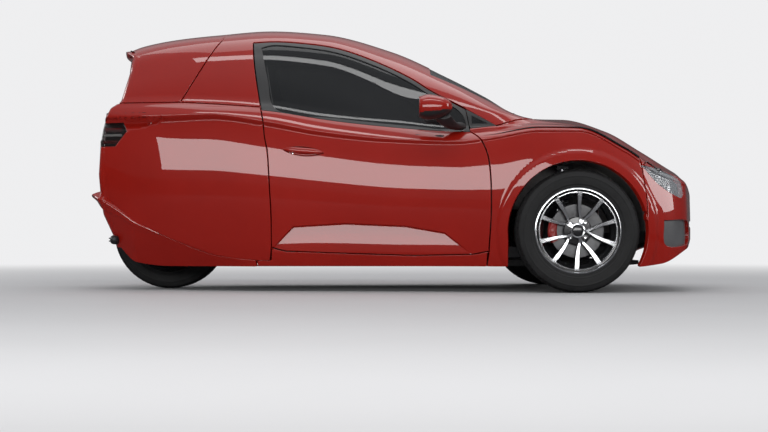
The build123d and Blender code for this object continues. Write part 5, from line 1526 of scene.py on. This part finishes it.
def hand_wheel_shapes():
    """The steering wheel about +Z, facing the driver, then tilted."""
    w = Shapes()
    turn = np.linspace(0, 2 * math.pi, 97)[:-1]
    flat = np.where(np.sin(turn) < -0.86, 0.86 / np.maximum(-np.sin(turn), 0.86), 1.0)
    ring = np.column_stack([168 * np.cos(turn), 168 * np.sin(turn) * flat, np.zeros(96)])
    w.tube(ring, 15.0 + 2.0 * (np.cos(2 * turn) ** 2), 0, 16, closed_path=True)
    for angle, wide in ((0, 30), (180, 30), (270, 38)):
        a = math.radians(angle)
        rings = []
        for r, h, z, thick in ((30, wide, 10, 12), (80, wide * 0.8, -6, 9), (130, wide * 0.62, -8, 8),
                               (160, wide * 0.8, -2, 9)):
            r = r if angle != 270 else r * 0.9
            out = np.array([math.cos(a), math.sin(a), 0])
            side = np.array([-math.sin(a), math.cos(a), 0])
            rings.append([out * r + side * h * p + np.array([0, 0, z + thick * q])
                          for p, q in ((-1, -0.6), (1, -0.6), (1.1, 0), (0.9, 0.7), (-0.9, 0.7), (-1.1, 0))])
        w.loft(rings, 1)
    w.add(*blob((0, -4, 12), (62, 52, 22), (2.6, 2.8), 20, 40), slot=0)
    w.lathe([(0, -14), (36, -14), (40, -40), (34, -110), (26, -190), (0, -190)], 2, 32, axis="z")
    tilt = math.atan2(0.9135, 0.4067)
    c, q = math.cos(tilt), math.sin(tilt)
    w.verts = [(HUB_X - (z * q + y * c), x, HUB_Z + z * c + y * q) for x, y, z in w.verts]
    return w


own(hand_wheel_shapes().make("steering_wheel_rim", (CABIN, SMOKED, BLACK_SATIN), 40), "hand_wheel",
    "cabin_plastic", "steering_wheel")
trim = panel_shell([side_loop(((-560, 270), (-560, 640), (-300, 700), (360, 690), (430, 600),
                               (440, 270)))], 10, 22, sink=31.0, edge=4.0, inner_slot=0)
pair(trim, "door_inner_trim", (CABIN,), "body_paint", "door")
rest = Shapes()
rings = []
for x in np.linspace(-420, 120, 19):
    t = abs((x + 150) / 270)
    y = skin_spot(x, 600, 52)[0][1]
    wide = 34 * (1 - t ** 6) + 6
    rings.append([(x, y + 14, 628), (x, y - wide, 628 - 2), (x, y - wide - 6, 616), (x, y - wide, 600),
                  (x, y + 14, 580)])
rest.loft(rings, 0)
pair(rest, "door_armrest", (CABIN,), "body_paint", None, (50,))

# ---------------------------------------------------------------------------------------------
# Seat: cushions filled and stitched down by cloth simulation
# ---------------------------------------------------------------------------------------------
SEAM_GAP, CUSHION_CAP = 0.011, 0.026
VOXEL, PRESSURE, FRAMES = 0.006, 4.0, 20


def places(mesh):
    """The vertices of a mesh as rows of x, y and z."""
    flat = np.empty(len(mesh.vertices) * 3)
    mesh.vertices.foreach_get("co", flat)
    return flat.reshape(-1, 3)


def cushion(name, centre, size, lean, seams, bolster, node):
    """A padded block: voxel shell, stitched lines held, inflated, capped and smoothed."""
    work = bmesh.new()
    bmesh.ops.create_cube(work, size=1)
    bmesh.ops.subdivide_edges(work, edges=list(work.edges), cuts=11, use_grid_fill=True)
    half = np.array(size) * MM / 2
    for v in work.verts:
        q = np.array(v.co) * 2
        soft = np.sign(q) * np.abs(q) ** 0.85
        round_off = 1 - 0.10 * (q[1] ** 4 * q[2] ** 2 + q[0] ** 4 * q[1] ** 2 + q[0] ** 4 * q[2] ** 2)
        p = soft * half * round_off
        side = max(0.0, abs(q[1]) - 0.62) / 0.38
        p[0] += bolster * MM * side ** 1.5 * (q[0] > 0)
        v.co = p
    mesh = bpy.data.meshes.new(name)
    work.to_mesh(mesh)
    work.free()
    shell = linked(name, mesh)
    remesh = shell.modifiers.new("shell", "REMESH")
    remesh.mode, remesh.voxel_size = "VOXEL", VOXEL
    solid = solved_mesh(shell)
    shell.modifiers.clear()
    shell.data = solid
    rest_at = places(solid)
    held = rest_at[:, 0] < -half[0] * 0.35
    for kind, value in seams:
        across_seam = np.abs(rest_at[:, kind] - value * MM)
        stitched = (across_seam < SEAM_GAP / 2) & (np.abs(rest_at[:, 1]) < half[1] * 0.9)
        held |= stitched & (rest_at[:, 0] > 0)
    group = shell.vertex_groups.new(name="held")
    group.add([int(i) for i in np.nonzero(held)[0]], 1.0, "REPLACE")
    cloth = shell.modifiers.new("padding", "CLOTH")
    cloth.settings.quality = 4
    cloth.settings.mass = 0.3
    cloth.settings.vertex_group_mass = "held"
    cloth.settings.use_pressure = True
    cloth.settings.uniform_pressure_force = PRESSURE
    cloth.settings.effector_weights.gravity = 0.0
    cloth.collision_settings.use_collision = False
    cloth.point_cache.frame_start, cloth.point_cache.frame_end = 1, FRAMES
    for f in range(1, FRAMES + 1):
        bpy.context.scene.frame_set(f)
    filled = solved_mesh(shell)
    move = places(filled) - rest_at
    far = np.linalg.norm(move, axis=1, keepdims=True)
    move *= np.minimum(1.0, CUSHION_CAP / np.maximum(far, 1e-9))
    shell.modifiers.clear()
    solid.vertices.foreach_set("co", (rest_at + move).ravel())
    bpy.context.scene.frame_set(1)
    turn = math.radians(lean)
    c, q = math.cos(turn), math.sin(turn)
    place = places(solid)
    turned = np.column_stack([place[:, 0] * c - place[:, 2] * q, place[:, 1],
                              place[:, 0] * q + place[:, 2] * c]) + np.array(centre) * MM
    solid.vertices.foreach_set("co", turned.ravel())
    finer = shell.modifiers.new("finer", "SUBSURF")
    finer.levels = 1
    smooth = solved_mesh(shell)
    shell.modifiers.clear()
    shell.vertex_groups.clear()
    shell.data = smooth
    smooth.shade_smooth()
    smooth.materials.clear()
    smooth.materials.append(CLOTH)
    own(shell, "body", "seat_cloth", node)


# name, centre, size, lean in degrees, stitched lines as (axis, place), side bolsters, node
cushion("seat_base_cushion", (-160, 0, 306), (128, 456, 462), 90,
        ((1, -150), (1, 150), (2, -70), (2, 70)), 26, "seat_base")
cushion("seat_back_cushion", (-446, 0, 640), (96, 430, 520), 25,
        ((1, -140), (1, 140), (2, -90), (2, 90)), 30, "seat_back")
head = Shapes()
head.add(*blob((-585, 0, 920), (36, 110, 62), (3.0, 3.0), 24, 36), slot=0)
for y in (-46, 46):
    head.tube([(-552, y, 830), (-572, y, 880)], 6.0, 1, 12)
own(head.make("headrest", (CLOTH, CHROME), 60), "body", "seat_cloth", "seat_back")

# Kept solids take a worked surface by their material slot
SLOT_MATERIALS = {
    "body_paint": PAINT, "tinted_glass": TINTED_GLASS, "black_trim": BLACK_SATIN,
    "lamp_clear": LAMP_GLASS, "lamp_red": RED_LENS, "underbody": UNDERBODY, "chassis_steel": STEEL,
    "damper_steel": DAMPER, "disc_iron": IRON, "caliper_red": CALIPER, "wheel_alloy": MACHINED,
    "tyre_rubber": RUBBER, "cabin_plastic": CABIN, "seat_cloth": CLOTH, "battery_case": CASE,
    "motor_case": MOTOR}
for subpart in frame["record"]["subparts"]:
    mesh = frame["nodes"][subpart["node"]].data
    mesh.materials.clear()
    felt = subpart["node"] == "arch_liners"
    mesh.materials.append(LINER_FELT if felt else SLOT_MATERIALS[subpart["material_slot"]])

# ---------------------------------------------------------------------------------------------
# Studio: floor, backdrop, lamps and camera
# ---------------------------------------------------------------------------------------------
BACKDROP, SKY_GREY = (0.86, 0.86, 0.87, 1), (0.55, 0.56, 0.58, 1)


def shader_mix(tree, amount, first, second):
    """A node that shows the first shader where the amount is 0 and the second where it is 1."""
    mix = add_node(tree, "ShaderNodeMixShader")
    for output, socket in ((amount, "Fac"), (first.outputs[0], 1), (second.outputs[0], 2)):
        tree.links.new(output, mix.inputs[socket])
    return mix


def floor_material():
    """Pale floor paint: fades into the backdrop far from the middle, and is dark in reflections."""
    m = material("floor_paint", (0.46, 0.46, 0.47), 0.6, vary=0.015, scale=2)
    tree, links = m.node_tree, m.node_tree.links
    where = add_node(tree, "ShaderNodeTexCoord")
    far = add_node(tree, "ShaderNodeVectorMath")
    far.operation = "LENGTH"
    links.new(where.outputs["Object"], far.inputs[0])
    share = add_node(tree, "ShaderNodeMapRange", From_Min=1.2, From_Max=9.0)
    share.interpolation_type = "SMOOTHSTEP"
    links.new(far.outputs["Value"], share.inputs["Value"])
    path = add_node(tree, "ShaderNodeLightPath")
    amount = add_node(tree, "ShaderNodeMath")
    amount.operation = "MULTIPLY"
    links.new(share.outputs["Result"], amount.inputs[0])
    links.new(path.outputs["Is Camera Ray"], amount.inputs[1])
    glow = add_node(tree, "ShaderNodeEmission", Color=BACKDROP)
    dark = add_node(tree, "ShaderNodeBsdfDiffuse", Color=(0.09, 0.09, 0.095, 1))
    pale = shader_mix(tree, amount.outputs[0], tree.nodes["Principled BSDF"], glow)
    seen = shader_mix(tree, path.outputs["Is Glossy Ray"], pale, dark)
    links.new(seen.outputs[0], tree.nodes["Material Output"].inputs["Surface"])
    return m


def world_light():
    """Cameras see the backdrop, reflections a dark horizon under a bright sky, the rest a soft grey."""
    world = bpy.data.worlds.new("studio")
    bpy.context.scene.world = world
    world.use_nodes = True
    tree, links = world.node_tree, world.node_tree.links
    backdrop = tree.nodes["Background"]
    backdrop.inputs["Color"].default_value = BACKDROP
    backdrop.inputs["Strength"].default_value = 1.0
    soft = add_node(tree, "ShaderNodeBackground", Color=SKY_GREY, Strength=0.46)
    sky = add_node(tree, "ShaderNodeBackground", Color=SKY_GREY)
    ray = add_node(tree, "ShaderNodeTexCoord")
    height = add_node(tree, "ShaderNodeSeparateXYZ")
    links.new(ray.outputs["Generated"], height.inputs[0])
    climb = add_node(tree, "ShaderNodeMapRange", From_Min=0.28, From_Max=0.6, To_Min=0.16, To_Max=0.95)
    links.new(height.outputs["Z"], climb.inputs["Value"])
    links.new(climb.outputs["Result"], sky.inputs["Strength"])
    path = add_node(tree, "ShaderNodeLightPath")
    lit = shader_mix(tree, path.outputs["Is Glossy Ray"], soft, sky)
    seen = shader_mix(tree, path.outputs["Is Camera Ray"], lit, backdrop)
    links.new(seen.outputs[0], tree.nodes["World Output"].inputs["Surface"])


STUDIO_LAMPS = (
    # name, location, size x, size y, watts, aimed at
    ("key_softbox", (0.2, -3.0, 4.8), 6.0, 0.8, 100, (0, 0, 0.6)),
    ("low_strip", (-0.5, -5.4, 1.22), 7.4, 0.95, 140, (0, 0, 0.55)),
    ("top_softbox", (-0.2, 0.6, 4.8), 5.0, 3.0, 75, (0, 0, 0)),
    ("rear_fill", (-5.5, 1.2, 2.2), 2.5, 1.6, 80, (0, 0, 0.6)),
    ("left_fill", (0.5, 5.5, 2.8), 5.0, 1.6, 80, (0, 0, 0.6)),
    ("nose_fill", (5.6, -1.6, 2.2), 1.6, 2.0, 70, (0.6, 0, 0.5)),
)
CAMERA_PLACE, CAMERA_TILT, LENS_MM = (-0.042, -6.89, 0.24), 91.14, 61.45


def stage_and_camera():
    scene = bpy.context.scene
    world_light()
    bpy.ops.mesh.primitive_plane_add(size=60, location=(0, 0, 0))
    floor = bpy.context.object
    floor.name = "studio_floor"
    floor.data.materials.append(floor_material())
    for name, place, wide, high, watts, aim in STUDIO_LAMPS:
        light = bpy.data.lights.new(name, "AREA")
        light.shape = "RECTANGLE"
        light.size, light.size_y, light.energy = wide, high, watts
        holder = linked(name, light)
        holder.location = place
        holder.rotation_euler = (Vector(aim) - Vector(place)).to_track_quat("-Z", "Y").to_euler()
        # The left fill would draw a white line along the roof, so reflections leave it out
        holder.visible_glossy = name != "left_fill"
    lens = bpy.data.cameras.new("side_camera")
    lens.lens, lens.sensor_width = LENS_MM, 36.0
    camera = linked("side_camera", lens)
    camera.location = CAMERA_PLACE
    camera.rotation_euler = (math.radians(CAMERA_TILT), 0, 0)
    scene.camera = camera
    scene.render.resolution_x, scene.render.resolution_y = 768, 432
    scene.view_settings.view_transform = "Standard"


stage_and_camera()
